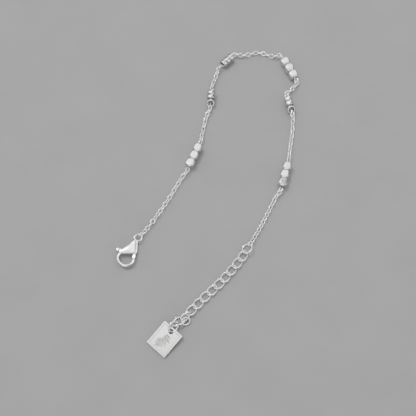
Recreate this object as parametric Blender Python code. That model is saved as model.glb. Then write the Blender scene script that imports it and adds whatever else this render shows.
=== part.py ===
"""Fine steel cable-chain bracelet with cube and ring beads, lying open on a flat surface.

Lengths are in millimetres and become metres when a mesh is finished. +Z is up, and the
bracelet rests on z = 0 with the origin under the middle of its outline.
"""
import math

import bmesh
import bpy
from mathutils import Matrix, Vector

MM = 0.001

# Fine cable chain: wire, outside width of a link, usual pitch, how deep links are pressed together
CHAIN_WIRE = 0.30
CHAIN_LINK_WIDTH = 1.40
CHAIN_PITCH = 1.25
CHAIN_BITE = 0.08
CHAIN_ROLL = 45.0
CHAIN_RAMP = 3.5
CHAIN_STEPS = 10
CHAIN_SIDES = 5

# Roll of the first link at the clasp, and the share of a stretch in which the roll settles
CLASP_LINK_ROLL = 70.0
ROLL_RAMP = 0.4

# Free room between two linked pieces, and between neighbouring beads
LINK_PLAY = 0.10
BEAD_GAP = 0.10

# Wire pin through each bead group, with an oval eye at both ends
PIN_WIRE = 0.34
PIN_PLAY = 0.18
PIN_SIDES = 6
EYE_WIRE = 0.30
EYE_LENGTH = 1.80
EYE_WIDTH = 1.40

# Cube bead
CUBE_SIZE = 2.50
CUBE_BEVEL = 0.36
BORE_SIDES = 8

# Ring bead, and the one that has tipped over at the end of a group
RING_OUTER = 2.50
RING_WALL = 0.50
RING_WIDTH = 1.35
RING_LEAN = 40.0
RING_STEPS = 12
RING_SIDES = 8
LEAN_PITCH = 1.93
LEAN_TO_EYE = 1.75

# Main jump ring between the chain and the extender
JOINT_RING_OUTER = 3.20
JOINT_RING_WIRE = 0.40

# Extender: curb links, ovals twisted so that each lies over the next
CURB_WIRE = 0.42
CURB_LENGTH = 3.52
CURB_WIDTH = 2.50
CURB_TWIST = 0.32
CURB_PITCH = 2.52
CURB_COUNT = 9
CURB_STEPS = 12
CURB_SIDES = 6

# Rectangular tag with a hole, one end propped on its jump ring
TAG_WIDTH = 6.10
TAG_LENGTH = 7.00
TAG_THICK = 0.70
TAG_BEVEL = 0.10
TAG_CORNER = 0.22
TAG_HOLE = 1.40
TAG_HOLE_INSET = 1.00
TAG_HEADING = -130.9
TAG_RING_OUTER = 3.40
TAG_RING_WIRE = 0.50
TAG_RING_ROLL = 125.0

# Clasp, measured from the middle of its eye towards the hook; the thumb tab is on the -y side
CLASP_HEADING = -117.5
CLASP_HEIGHT = 2.00
CLASP_BEVEL = 0.22
CLASP_EYE_OUTER = 2.34
CLASP_EYE_WALL = 0.38
CLASP_EYE_HEIGHT = 0.70
CLASP_NECK = (1.35, 0.00, 0.45)
CLASP_KNUCKLE = (3.95, 1.10, 0.62)
CLASP_LUG = (5.75, -1.98, 0.50)
HOOK_CENTRE = 6.50
HOOK_OUTER = 5.00
HOOK_WIRE = 0.64
HOOK_HEIGHT = 1.00
HOOK_ROOT_ANGLE = -110.0
HOOK_TIP_ANGLE = 106.0
HOOK_STEPS = 14
HOOK_SIDES = 8
DISC_STEPS = 16

# Lever of the clasp: a plate in the body's slot, with the gate and the thumb tab outside it
LEVER_OPENING = 25.0
LEVER_THICK = 0.44
LEVER_PLAY = 0.08
LEVER_ARM = 0.60
LEVER_KNUCKLE = 1.20
PIVOT_PIN = 0.50
PIVOT_PLAY = 0.10
PIVOT_STEPS = 12
SWEEP_BULGE = 1.10
GATE_ANGLE = 27.0
GATE_ROOT_WIDTH = 0.84
GATE_TIP_WIDTH = 0.68
GATE_REACH = 2.05
GATE_HEIGHT = 1.10
GATE_BEVEL = 0.11
TAB_ANGLE = -69.0
TAB_REACH = 4.50
TAB_SIZE = 1.04
TAB_HEIGHT = 1.30
TAB_BEVEL = 0.26
TAB_STEPS = 14

# Smooth shading stops at edges sharper than these angles
WIRE_SHARP = 60.0
CUBE_SHARP = 30.0
TAG_SHARP = 25.0
CLASP_SHARP = 35.0

# Samples in one span of a curve, and the turn below which an outline counts as straight
PATH_STEPS = 16
STRAIGHT_TURN = 1e-6

# Middle of the bracelet's outline in the plan below, which becomes the origin
PLAN_MIDDLE = (-2.06, -1.605)

# Where the bracelet lies, from the clasp to the tag: (x, y) points in order, chosen by hand.
# A bead group has the place of its middle bead; its heading is in BEAD_GROUPS.
ROUTE = {
    "clasp": ((-22.49, -16.50),),
    "chain_1": ((-20.55, -14.20), (-18.60, -11.45), (-16.70, -8.35), (-14.65, -5.05),
                (-12.60, -1.35), (-11.00, 1.55)),
    "group_a": ((-7.55, 8.30),),
    "chain_2": ((-5.40, 14.90), (-4.90, 17.35), (-4.40, 19.80), (-3.80, 22.40)),
    "group_b": ((-2.60, 28.03),),
    "chain_3": ((-1.75, 33.60), (-1.20, 35.60), (-0.55, 37.40)),
    "group_c": ((2.41, 41.30),),
    "chain_4": ((7.00, 43.35), (9.40, 44.25), (11.90, 44.72), (14.40, 44.25), (16.80, 43.15)),
    "group_d": ((21.40, 38.35),),
    "chain_5": ((22.80, 32.30), (21.50, 30.50)),
    "group_e": ((20.85, 25.72),),
    "chain_6": ((21.65, 20.20), (21.45, 17.30), (21.00, 14.40), (20.45, 11.50), (20.00, 9.20)),
    "group_f": ((18.32, 2.30),),
    "chain_7": ((15.75, -4.00), (14.15, -7.10), (12.60, -10.15), (11.10, -13.00), (9.60, -15.60),
                (8.35, -17.70)),
    "joint_ring": ((7.07, -19.63),),
    "extender": ((6.15, -21.35), (3.05, -25.30), (-0.30, -29.05), (-4.05, -32.60), (-7.55, -36.10),
                 (-9.30, -37.95)),
}

# Bead groups in the order of the bracelet: name, bead, heading in degrees, end that has tipped over
BEAD_GROUPS = (
    ("group_a", "cube", 68.0, None),
    ("group_b", "ring", 86.0, "first"),
    ("group_c", "ring", 44.7, None),
    ("group_d", "cube", -65.0, None),
    ("group_e", "ring", -78.0, "last"),
    ("group_f", "cube", -106.2, None),
)
BEADS_IN_GROUP = 3

# Last links of the extender, each lying as it fell: x and y of its middle from that of the last curb
# link, its height, heading, pitch and roll, then outside length, outside width and twist. The tag's
# hole is also placed from the last curb link.
LOOSE_LINKS = {
    "extender_10": (-1.346, -1.519, 1.01, -139.6, -9.2, -53.5, 3.42, 2.42, 0.30),
    "extender_11": (-3.336, -2.919, 0.87, -150.9, 1.1, 31.9, 4.02, 2.82, 0.12),
    "side_ring": (-1.386, -2.889, 0.86, -16.2, -24.5, 30.8, 2.50, 2.50, 0.0),
}
TAG_HOLE_PLACE = (-5.116, -5.589)

STEEL = (0.78, 0.78, 0.77)
SATIN_STEEL = (0.74, 0.74, 0.73)


def clear_scene():
    """Remove every object that the file starts with."""
    for item in list(bpy.data.objects):
        bpy.data.objects.remove(item, do_unlink=True)


def steel_material(name, colour, roughness):
    """Plain steel with the finish of one kind of piece."""
    material = bpy.data.materials.new(name)
    material.use_nodes = True
    shader = material.node_tree.nodes["Principled BSDF"]
    shader.inputs["Base Color"].default_value = (*colour, 1.0)
    shader.inputs["Metallic"].default_value = 1.0
    shader.inputs["Roughness"].default_value = roughness
    return material


def rotated_axes(heading, pitch, roll):
    """Along, across and up axes for a heading on the floor, a pitch upwards and a roll."""
    level = math.cos(math.radians(pitch))
    along = Vector((math.cos(math.radians(heading)) * level,
                    math.sin(math.radians(heading)) * level,
                    math.sin(math.radians(pitch))))
    return axes_about(along, roll)


def axes_about(direction, roll):
    """Along, across and up axes of a piece that lies along direction, rolled about it."""
    along = direction.normalized()
    across = Vector((-along.y, along.x, 0.0)).normalized()
    up = along.cross(across)
    turn = math.radians(roll)
    return (along,
            across * math.cos(turn) + up * math.sin(turn),
            up * math.cos(turn) - across * math.sin(turn))


def loop_points(centre, axes, half_length, half_width, twist, steps):
    """Centre line of a closed oval link; twist lifts it in a figure of four quarters."""
    along, across, up = axes
    points = []
    for step in range(steps):
        angle = 2.0 * math.pi * step / steps
        points.append(centre + along * (half_length * math.cos(angle))
                      + across * (half_width * math.sin(angle))
                      + up * (twist * math.sin(2.0 * angle)))
    return points


def link_points(centre, axes, length, width, wire, twist, steps):
    """Centre line of an oval link given by its outside length and width."""
    return loop_points(centre, axes, (length - wire) / 2.0, (width - wire) / 2.0, twist, steps)


def closed_tube(points, up, half_in, half_up, sides):
    """Faces and points of an oval section swept round a closed centre line."""
    count = len(points)
    verts = []
    for index, point in enumerate(points):
        tangent = (points[(index + 1) % count] - points[index - 1]).normalized()
        inward = up.cross(tangent).normalized()
        beside = tangent.cross(inward)
        for side in range(sides):
            angle = 2.0 * math.pi * side / sides
            verts.append(point + inward * (half_in * math.cos(angle))
                         + beside * (half_up * math.sin(angle)))
    faces = []
    for index in range(count):
        following = (index + 1) % count
        for side in range(sides):
            beyond = (side + 1) % sides
            faces.append((index * sides + side, index * sides + beyond,
                          following * sides + beyond, following * sides + side))
    return verts, faces


def open_tube(points, up, half_in, half_up, sides):
    """Faces and points of an oval section swept along an open centre line, with flat ends."""
    last = len(points) - 1
    verts = []
    for index, point in enumerate(points):
        tangent = (points[min(index + 1, last)] - points[max(index - 1, 0)]).normalized()
        inward = up.cross(tangent).normalized()
        beside = tangent.cross(inward)
        for side in range(sides):
            angle = 2.0 * math.pi * side / sides
            verts.append(point + inward * (half_in * math.cos(angle))
                         + beside * (half_up * math.sin(angle)))
    faces = []
    for index in range(last):
        for side in range(sides):
            beyond = (side + 1) % sides
            faces.append((index * sides + side, index * sides + beyond,
                          (index + 1) * sides + beyond, (index + 1) * sides + side))
    faces.append(tuple(reversed(range(sides))))
    faces.append(tuple(last * sides + side for side in range(sides)))
    return verts, faces


def slab(outline, low, high, bevel):
    """Faces and points of a flat plate with its top and bottom edges chamfered."""
    count = len(outline)
    inset = []
    for index, (x, y) in enumerate(outline):
        before = Vector(outline[index - 1])
        here = Vector((x, y))
        after = Vector(outline[(index + 1) % count])
        first = (here - before).normalized()
        second = (after - here).normalized()
        inner = Vector((-first.y - second.y, first.x + second.x)).normalized()
        inset.append(here + inner * bevel)
    verts = []
    for ring, height in ((inset, low), (outline, low + bevel), (outline, high - bevel), (inset, high)):
        verts.extend(Vector((x, y, height)) for x, y in ring)
    faces = []
    for level in range(3):
        for index in range(count):
            beyond = (index + 1) % count
            faces.append((level * count + index, level * count + beyond,
                          (level + 1) * count + beyond, (level + 1) * count + index))
    faces.append(tuple(reversed(range(count))))
    faces.append(tuple(3 * count + index for index in range(count)))
    return verts, faces


def prism(outline, low, high):
    """Faces and points of a plain plate."""
    count = len(outline)
    verts = [Vector((x, y, low)) for x, y in outline] + [Vector((x, y, high)) for x, y in outline]
    faces = [(index, (index + 1) % count, count + (index + 1) % count, count + index)
             for index in range(count)]
    faces.append(tuple(reversed(range(count))))
    faces.append(tuple(range(count, 2 * count)))
    return verts, faces


def circle_outline(x, y, radius, steps):
    """Points of a circle, anticlockwise."""
    return [(x + radius * math.cos(2.0 * math.pi * step / steps),
             y + radius * math.sin(2.0 * math.pi * step / steps)) for step in range(steps)]


def hull_outline(discs, steps):
    """Outline round several discs, each given as x, y and radius, anticlockwise."""
    points = sorted({point for x, y, radius in discs for point in circle_outline(x, y, radius, steps)})

    def turn(a, b, c):
        return (b[0] - a[0]) * (c[1] - a[1]) - (b[1] - a[1]) * (c[0] - a[0])

    def half(ordered):
        chain = []
        for point in ordered:
            while len(chain) > 1 and turn(chain[-2], chain[-1], point) <= STRAIGHT_TURN:
                chain.pop()
            chain.append(point)
        return chain

    return half(points)[:-1] + half(points[::-1])[:-1]


def mesh_of(name, *parts):
    """One mesh from separate closed shapes, in millimetres."""
    mesh = bpy.data.meshes.new(name)
    verts = []
    faces = []
    for part_verts, part_faces in parts:
        start = len(verts)
        verts.extend(part_verts)
        faces.extend(tuple(start + index for index in face) for face in part_faces)
    mesh.from_pydata([tuple(point) for point in verts], [], faces)
    return mesh


def combined(mesh, other, operation):
    """Mesh that a Boolean leaves of two closed meshes."""
    base = bpy.data.objects.new("base", mesh)
    tool = bpy.data.objects.new("tool", other)
    for item in (base, tool):
        bpy.context.scene.collection.objects.link(item)
    boolean = base.modifiers.new("combine", "BOOLEAN")
    boolean.operation = operation
    boolean.solver = "EXACT"
    boolean.object = tool
    bpy.context.view_layer.update()
    graph = bpy.context.evaluated_depsgraph_get()
    result = bpy.data.meshes.new_from_object(base.evaluated_get(graph))
    for item in (base, tool):
        bpy.data.objects.remove(item, do_unlink=True)
    return result


def finished(mesh, sharp_angle):
    """Mesh in metres, with smooth shading up to sharp_angle."""
    mesh.transform(Matrix.Scale(MM, 4))
    mesh.shade_smooth()
    mesh.set_sharp_from_angle(angle=math.radians(sharp_angle))
    return mesh


def placed(name, mesh, material, location=(0.0, 0.0, 0.0), parent=None):
    """One named object with its own material, at a place in millimetres."""
    item = bpy.data.objects.new(name, mesh)
    bpy.context.scene.collection.objects.link(item)
    item.location = Vector(location) * MM
    item.parent = parent
    if not mesh.materials:
        mesh.materials.append(material)
    return item


class Path:
    """Smooth curve through chosen points, read by its length; it runs on straight past both ends."""

    def __init__(self, points, before, after):
        spaced = [before, *points, after]
        self.samples = []
        for index in range(1, len(spaced) - 2):
            self.samples.extend(self.span(spaced[index - 1:index + 3]))
        self.samples.append(points[-1])
        self.lengths = [0.0]
        for first, second in zip(self.samples, self.samples[1:]):
            self.lengths.append(self.lengths[-1] + (second - first).length)
        self.length = self.lengths[-1]

    @staticmethod
    def span(four):
        """Points of one Catmull-Rom span, with even time between the chosen points."""
        a, b, c, d = four
        points = []
        for step in range(PATH_STEPS):
            t = step / PATH_STEPS
            points.append(0.5 * (2.0 * b + (c - a) * t + (2.0 * a - 5.0 * b + 4.0 * c - d) * t * t
                                 + (3.0 * b - a - 3.0 * c + d) * t * t * t))
        return points

    def at(self, distance):
        """Point at a distance from the start, on the floor plan."""
        if distance <= 0.0:
            return self.samples[0] + (self.samples[1] - self.samples[0]).normalized() * distance
        if distance >= self.length:
            end = (self.samples[-1] - self.samples[-2]).normalized()
            return self.samples[-1] + end * (distance - self.length)
        index = 0
        while self.lengths[index + 1] < distance:
            index += 1
        share = (distance - self.lengths[index]) / (self.lengths[index + 1] - self.lengths[index])
        return self.samples[index].lerp(self.samples[index + 1], share)


def route(name):
    """Chosen floor points of one stretch, measured from the origin."""
    return [Vector(point) - Vector(PLAN_MIDDLE) for point in ROUTE[name]]


def smooth_step(share):
    """Even ramp from 0 to 1."""
    share = min(1.0, max(0.0, share))
    return share * share * (3.0 - 2.0 * share)


def lying_height(width, wire, roll):
    """Height of a link's middle when it touches the floor at this roll."""
    turn = math.radians(roll)
    return (width - wire) / 2.0 * abs(math.sin(turn)) + wire / 2.0


def chain_height(roll):
    """Height of a cable chain whose links lie at this roll and square to it."""
    return max(lying_height(CHAIN_LINK_WIDTH, CHAIN_WIRE, roll),
               lying_height(CHAIN_LINK_WIDTH, CHAIN_WIRE, roll + 90.0))


class Anchor:
    """Wire that a chain stretch links round: its place, its half thickness and the free end's way."""

    def __init__(self, point, height, half_wire, behind):
        self.point = point
        self.height = height
        self.room = half_wire + CHAIN_WIRE / 2.0 + LINK_PLAY
        self.behind = behind


def chain_stretch(name, start, end, first_roll, last_roll, material):
    """One stretch of interlocked cable links between two anchors; gives the last link's roll."""
    path = Path([start.point, *route(name), end.point], start.behind, end.behind)
    span = path.length + start.room + end.room
    count = round((span - CHAIN_WIRE + CHAIN_BITE) / CHAIN_PITCH)
    pitch = (span - CHAIN_WIRE + CHAIN_BITE) / count
    half_length = (pitch + CHAIN_WIRE - CHAIN_BITE) / 2.0
    half_width = (CHAIN_LINK_WIDTH - CHAIN_WIRE) / 2.0

    def roll_at(index):
        share = index / max(1, count - 1)
        roll = -CHAIN_ROLL + 90.0 * (index % 2)
        roll += (first_roll + CHAIN_ROLL) * smooth_step(1.0 - share / ROLL_RAMP)
        if last_roll is not None:
            settled = last_roll + 90.0 * ((count - 1 - index) % 2)
            shift = (settled - roll + 90.0) % 180.0 - 90.0
            roll += shift * smooth_step(1.0 - (1.0 - share) / ROLL_RAMP)
        return roll

    def point_at(distance, rest):
        floor = path.at(distance)
        rise = (start.height - rest) * smooth_step(1.0 - distance / CHAIN_RAMP)
        rise += (end.height - rest) * smooth_step(1.0 - (path.length - distance) / CHAIN_RAMP)
        return Vector((floor.x, floor.y, rest + rise))

    sets = ([], [])
    for index in range(count):
        middle = half_length - start.room + index * pitch
        roll = roll_at(index)
        near = point_at(middle - half_length, chain_height(roll))
        far = point_at(middle + half_length, chain_height(roll))
        axes = axes_about(far - near, roll)
        points = loop_points((near + far) / 2.0, axes, half_length, half_width, 0.0, CHAIN_STEPS)
        sets[index % 2].append(closed_tube(points, axes[2], CHAIN_WIRE / 2.0, CHAIN_WIRE / 2.0,
                                           CHAIN_SIDES))
    mesh = combined(mesh_of(name, *sets[0]), mesh_of("alternate", *sets[1]), "UNION")
    placed(name, finished(mesh, WIRE_SHARP), material)
    return roll


def cube_mesh():
    """Cube bead with bevelled edges, cut corners and a bore along x."""
    mesh = bpy.data.meshes.new("cube")
    shape = bmesh.new()
    bmesh.ops.create_cube(shape, size=CUBE_SIZE)
    bmesh.ops.bevel(shape, geom=shape.edges[:], offset=CUBE_BEVEL, segments=1, affect="EDGES")
    shape.to_mesh(mesh)
    shape.free()
    bore = PIN_WIRE / 2.0 + PIN_PLAY
    ends = [Vector((-CUBE_SIZE, 0.0, 0.0)), Vector((CUBE_SIZE, 0.0, 0.0))]
    drill = mesh_of("drill", open_tube(ends, Vector((0.0, 0.0, 1.0)), bore, bore, BORE_SIDES))
    return finished(combined(mesh, drill, "DIFFERENCE"), CUBE_SHARP)


def ring_mesh():
    """Round bead with a rounded wall and a wide hole along x."""
    radius = (RING_OUTER - RING_WALL) / 2.0
    axes = (Vector((0.0, 1.0, 0.0)), Vector((0.0, 0.0, 1.0)), Vector((1.0, 0.0, 0.0)))
    points = loop_points(Vector(), axes, radius, radius, 0.0, RING_STEPS)
    tube = closed_tube(points, axes[2], RING_WALL / 2.0, RING_WIDTH / 2.0, RING_SIDES)
    return finished(mesh_of("ring", tube), WIRE_SHARP)


def bead_offsets(bead, tipped):
    """Places of the beads along a pin from its first eye, and the place of its last eye."""
    width = CUBE_SIZE if bead == "cube" else RING_WIDTH
    to_eye = EYE_LENGTH / 2.0 + BEAD_GAP + width / 2.0
    pitch = width + BEAD_GAP
    steps = [to_eye] + [pitch] * (BEADS_IN_GROUP - 1) + [to_eye]
    if tipped == "first":
        steps[0] = LEAN_TO_EYE
        steps[1] = LEAN_PITCH
    if tipped == "last":
        steps[-1] = LEAN_TO_EYE
        steps[-2] = LEAN_PITCH
    places = []
    for step in steps:
        places.append(step + (places[-1] if places else 0.0))
    return places[:-1], places[-1]


class BeadGroup:
    """Three beads on a wire pin with an eye at each end."""

    def __init__(self, name, bead, heading, tipped):
        self.name = name
        self.bead = bead
        self.heading = heading
        self.tipped = tipped
        self.beads, self.span = bead_offsets(bead, tipped)
        turn = math.radians(heading)
        self.along = Vector((math.cos(turn), math.sin(turn)))
        self.start = route(name)[0] - self.along * self.beads[BEADS_IN_GROUP // 2]
        self.height = (CUBE_SIZE if bead == "cube" else RING_OUTER) / 2.0
        self.reach = (EYE_LENGTH - EYE_WIRE) / 2.0

    def anchor(self, end):
        """Wire at the far end of the first or the last eye."""
        side = -1.0 if end == "first" else 1.0
        eye = self.start + self.along * (0.0 if end == "first" else self.span)
        return Anchor(eye + self.along * (side * self.reach), self.height, EYE_WIRE / 2.0, eye)

    def build(self, meshes, materials, rolls):
        """Make the beads and the pin; rolls are those of the two eyes."""
        for index, offset in enumerate(self.beads):
            spot = self.start + self.along * offset
            item = placed(f"{self.name}_{self.bead}_{index + 1}", meshes[self.bead],
                          materials[self.bead], (spot.x, spot.y, self.height))
            lean = 0.0
            if (self.tipped, index) in (("first", 0), ("last", BEADS_IN_GROUP - 1)):
                lean = RING_LEAN if self.tipped == "first" else -RING_LEAN
            item.rotation_euler = (0.0, math.radians(lean), math.radians(self.heading))
        up = Vector((0.0, 0.0, 1.0))
        eyes = []
        for place, roll in ((0.0, rolls[0]), (self.span, rolls[1])):
            axes = axes_about(Vector((1.0, 0.0, 0.0)), roll)
            points = link_points(Vector((place, 0.0, 0.0)), axes, EYE_LENGTH, EYE_WIDTH, EYE_WIRE, 0.0,
                                 CHAIN_STEPS)
            eyes.append(closed_tube(points, axes[2], EYE_WIRE / 2.0, EYE_WIRE / 2.0, CHAIN_SIDES))
        ends = [Vector((self.reach, 0.0, 0.0)), Vector((self.span - self.reach, 0.0, 0.0))]
        stem = open_tube(ends, up, PIN_WIRE / 2.0, PIN_WIRE / 2.0, PIN_SIDES)
        mesh = combined(mesh_of("eyes", *eyes), mesh_of("stem", stem), "UNION")
        pin = placed(f"{self.name}_pin", finished(mesh, WIRE_SHARP), materials["wire"],
                     (self.start.x, self.start.y, self.height))
        pin.rotation_euler = (0.0, 0.0, math.radians(self.heading))


def make_link(name, points, up, wire, sides, material):
    """A single link or jump ring."""
    mesh = mesh_of(name, closed_tube(points, up, wire / 2.0, wire / 2.0, sides))
    return placed(name, finished(mesh, WIRE_SHARP), material)


def curb_end_slope():
    """Angle at which a curb link's end wire crosses the one it holds."""
    return math.degrees(math.atan2(2.0 * CURB_TWIST, (CURB_WIDTH - CURB_WIRE) / 2.0))


def joint_ring(material):
    """Main jump ring, leaning against the first curb link."""
    centre = route("joint_ring")[0]
    heading = route("extender")[0] - centre
    roll = curb_end_slope()
    height = lying_height(JOINT_RING_OUTER, JOINT_RING_WIRE, roll)
    axes = axes_about(Vector((heading.x, heading.y, 0.0)), roll)
    points = link_points(Vector((centre.x, centre.y, height)), axes, JOINT_RING_OUTER,
                         JOINT_RING_OUTER, JOINT_RING_WIRE, 0.0, RING_STEPS)
    make_link("joint_ring", points, axes[2], JOINT_RING_WIRE, CURB_SIDES, material)


def joint_ring_anchor():
    """Wire of the main jump ring on the side of the fine chain."""
    centre = route("joint_ring")[0]
    towards = (route("chain_7")[-1] - centre).normalized()
    reach = (JOINT_RING_OUTER - JOINT_RING_WIRE) / 2.0
    height = lying_height(JOINT_RING_OUTER, JOINT_RING_WIRE, curb_end_slope())
    return Anchor(centre + towards * reach, height, JOINT_RING_WIRE / 2.0, centre)


def extender_path():
    """Curve that the curb links follow, and how far along it the first one lies."""
    ring = route("joint_ring")[0]
    points = route("extender")
    path = Path([ring, *points], 2.0 * ring - points[0], 2.0 * points[-1] - points[-2])
    first = (JOINT_RING_OUTER - JOINT_RING_WIRE + CURB_LENGTH - CURB_WIRE) / 2.0
    first -= (JOINT_RING_WIRE + CURB_WIRE) / 2.0 + 2.0 * LINK_PLAY
    return path, first


def extender_end():
    """Floor point under the last curb link; the loose links and the tag lie from there."""
    path, first = extender_path()
    return path.at(first + (CURB_COUNT - 1) * CURB_PITCH)


def extender(material):
    """Curb links along the extender, then the loose links near the tag."""
    path, first = extender_path()
    height = CURB_TWIST + CURB_WIRE / 2.0
    half = (CURB_LENGTH - CURB_WIRE) / 2.0
    for index in range(CURB_COUNT):
        middle = first + index * CURB_PITCH
        spot = path.at(middle)
        way = path.at(middle + half) - path.at(middle - half)
        axes = axes_about(Vector((way.x, way.y, 0.0)), 0.0)
        points = link_points(Vector((spot.x, spot.y, height)), axes, CURB_LENGTH, CURB_WIDTH,
                             CURB_WIRE, CURB_TWIST, CURB_STEPS)
        make_link(f"extender_{index + 1}", points, axes[2], CURB_WIRE, CURB_SIDES, material)
    end = extender_end()
    for name, (x, y, z, heading, pitch, roll, length, width, twist) in LOOSE_LINKS.items():
        axes = rotated_axes(heading, pitch, roll)
        spot = Vector((end.x + x, end.y + y, z))
        points = link_points(spot, axes, length, width, CURB_WIRE, twist, CURB_STEPS)
        make_link(name, points, axes[2], CURB_WIRE, CURB_SIDES, material)


def tag_frame():
    """Place of the tag's hole at mid-thickness, and the tag's axes."""
    hole = extender_end() + Vector(TAG_HOLE_PLACE)
    prop = TAG_RING_WIRE + LINK_PLAY
    pitch = -math.degrees(math.atan2(prop, TAG_LENGTH - TAG_HOLE_INSET))
    axes = rotated_axes(TAG_HEADING, pitch, 0.0)
    far = (TAG_LENGTH - TAG_HOLE_INSET) * math.sin(math.radians(-pitch))
    height = far + TAG_THICK / 2.0 * math.cos(math.radians(pitch))
    return Vector((hole.x, hole.y, height)), axes


def tag(material):
    """Flat rectangular tag, its holed end propped on the jump ring's wire."""
    hole, axes = tag_frame()
    near = -TAG_HOLE_INSET
    far = TAG_LENGTH - TAG_HOLE_INSET
    corners = [(x + TAG_CORNER * inset_x, y + TAG_CORNER * inset_y, TAG_CORNER)
               for x, inset_x in ((near, 1.0), (far, -1.0))
               for y, inset_y in ((-TAG_WIDTH / 2.0, 1.0), (TAG_WIDTH / 2.0, -1.0))]
    plate = slab(hull_outline(corners, RING_STEPS), -TAG_THICK / 2.0, TAG_THICK / 2.0, TAG_BEVEL)
    drill = prism(circle_outline(0.0, 0.0, TAG_HOLE / 2.0, RING_STEPS), -TAG_THICK, TAG_THICK)
    mesh = combined(mesh_of("plate", plate), mesh_of("drill", drill), "DIFFERENCE")
    item = placed("tag", finished(mesh, TAG_SHARP), material, hole)
    item.rotation_euler = Matrix(axes).transposed().to_euler()


def tag_ring(material):
    """Jump ring through the tag's hole and the last extender link."""
    hole, axes = tag_frame()
    radius = (TAG_RING_OUTER - TAG_RING_WIRE) / 2.0
    level = rotated_axes(TAG_HEADING, 0.0, TAG_RING_ROLL)
    height = radius * abs(level[1].z) + TAG_RING_WIRE / 2.0
    sine = (hole.z - height) / (radius * level[1].z)
    cosine = math.sqrt(1.0 - sine * sine)
    wire = level[0] * (radius * cosine) + level[1] * (radius * sine)
    centre = Vector((hole.x - wire.x, hole.y - wire.y, height))
    points = link_points(centre, level, TAG_RING_OUTER, TAG_RING_OUTER, TAG_RING_WIRE, 0.0, RING_STEPS)
    make_link("tag_ring", points, level[2], TAG_RING_WIRE, CURB_SIDES, material)


def polar(angle, reach):
    """Offset at an angle in degrees."""
    return Vector((reach * math.cos(math.radians(angle)), reach * math.sin(math.radians(angle))))


def sweep_outline(centre, angle, half_width, reach):
    """Outline that an arm sweeps while the lever opens from angle."""
    opened = angle - LEVER_OPENING
    middle = (angle + opened) / 2.0
    side = centre + polar(angle + 90.0, half_width)
    other = centre + polar(opened - 90.0, half_width)
    outline = [other, other + polar(opened, reach), centre + polar(middle, reach * SWEEP_BULGE),
               side + polar(angle, reach), side]
    return [tuple(point) for point in outline]


def arm_outline(centre, angle, width, reach):
    """Outline of a straight arm."""
    way = polar(angle, 1.0)
    across = Vector((-way.y, way.x))
    half = width / 2.0
    ends = ((0.0, -half), (reach, -half), (reach, half), (0.0, half))
    return [tuple(centre + way * along + across * side) for along, side in ends]


def gate_outline(centre):
    """Outline of the thick gate: its root clears the body at rest and open, its tip is an arc."""
    edge = Vector(CLASP_LUG[:2]) - Vector(CLASP_KNUCKLE[:2])
    facing = math.degrees(math.atan2(edge.y, edge.x)) + 90.0
    clear = CLASP_KNUCKLE[2] + LEVER_PLAY
    way = polar(GATE_ANGLE, 1.0)
    across = Vector((-way.y, way.x))
    rest = math.radians(facing - GATE_ANGLE)
    opened = math.radians(facing + LEVER_OPENING - GATE_ANGLE)
    outline = []
    for share in (-1.0, -0.5, 0.0, 0.5, 1.0):
        lateral = share * GATE_ROOT_WIDTH / 2.0
        along = max((clear - lateral * math.sin(turn)) / math.cos(turn) for turn in (rest, opened))
        outline.append(centre + way * along + across * lateral)
    outline.reverse()
    for share in (-1.0, -0.5, 0.0, 0.5, 1.0):
        lateral = share * GATE_TIP_WIDTH / 2.0
        along = math.sqrt(GATE_REACH ** 2 - lateral ** 2)
        outline.append(centre + way * along + across * lateral)
    return [tuple(point) for point in outline]


def clasp_eye_anchor():
    """Wall of the clasp's eye on the side of the chain."""
    centre = route("clasp")[0]
    towards = (route("chain_1")[0] - centre).normalized()
    reach = (CLASP_EYE_OUTER - CLASP_EYE_WALL) / 2.0
    return Anchor(centre + towards * reach, CLASP_HEIGHT / 2.0, CLASP_EYE_WALL / 2.0, centre)


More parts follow.
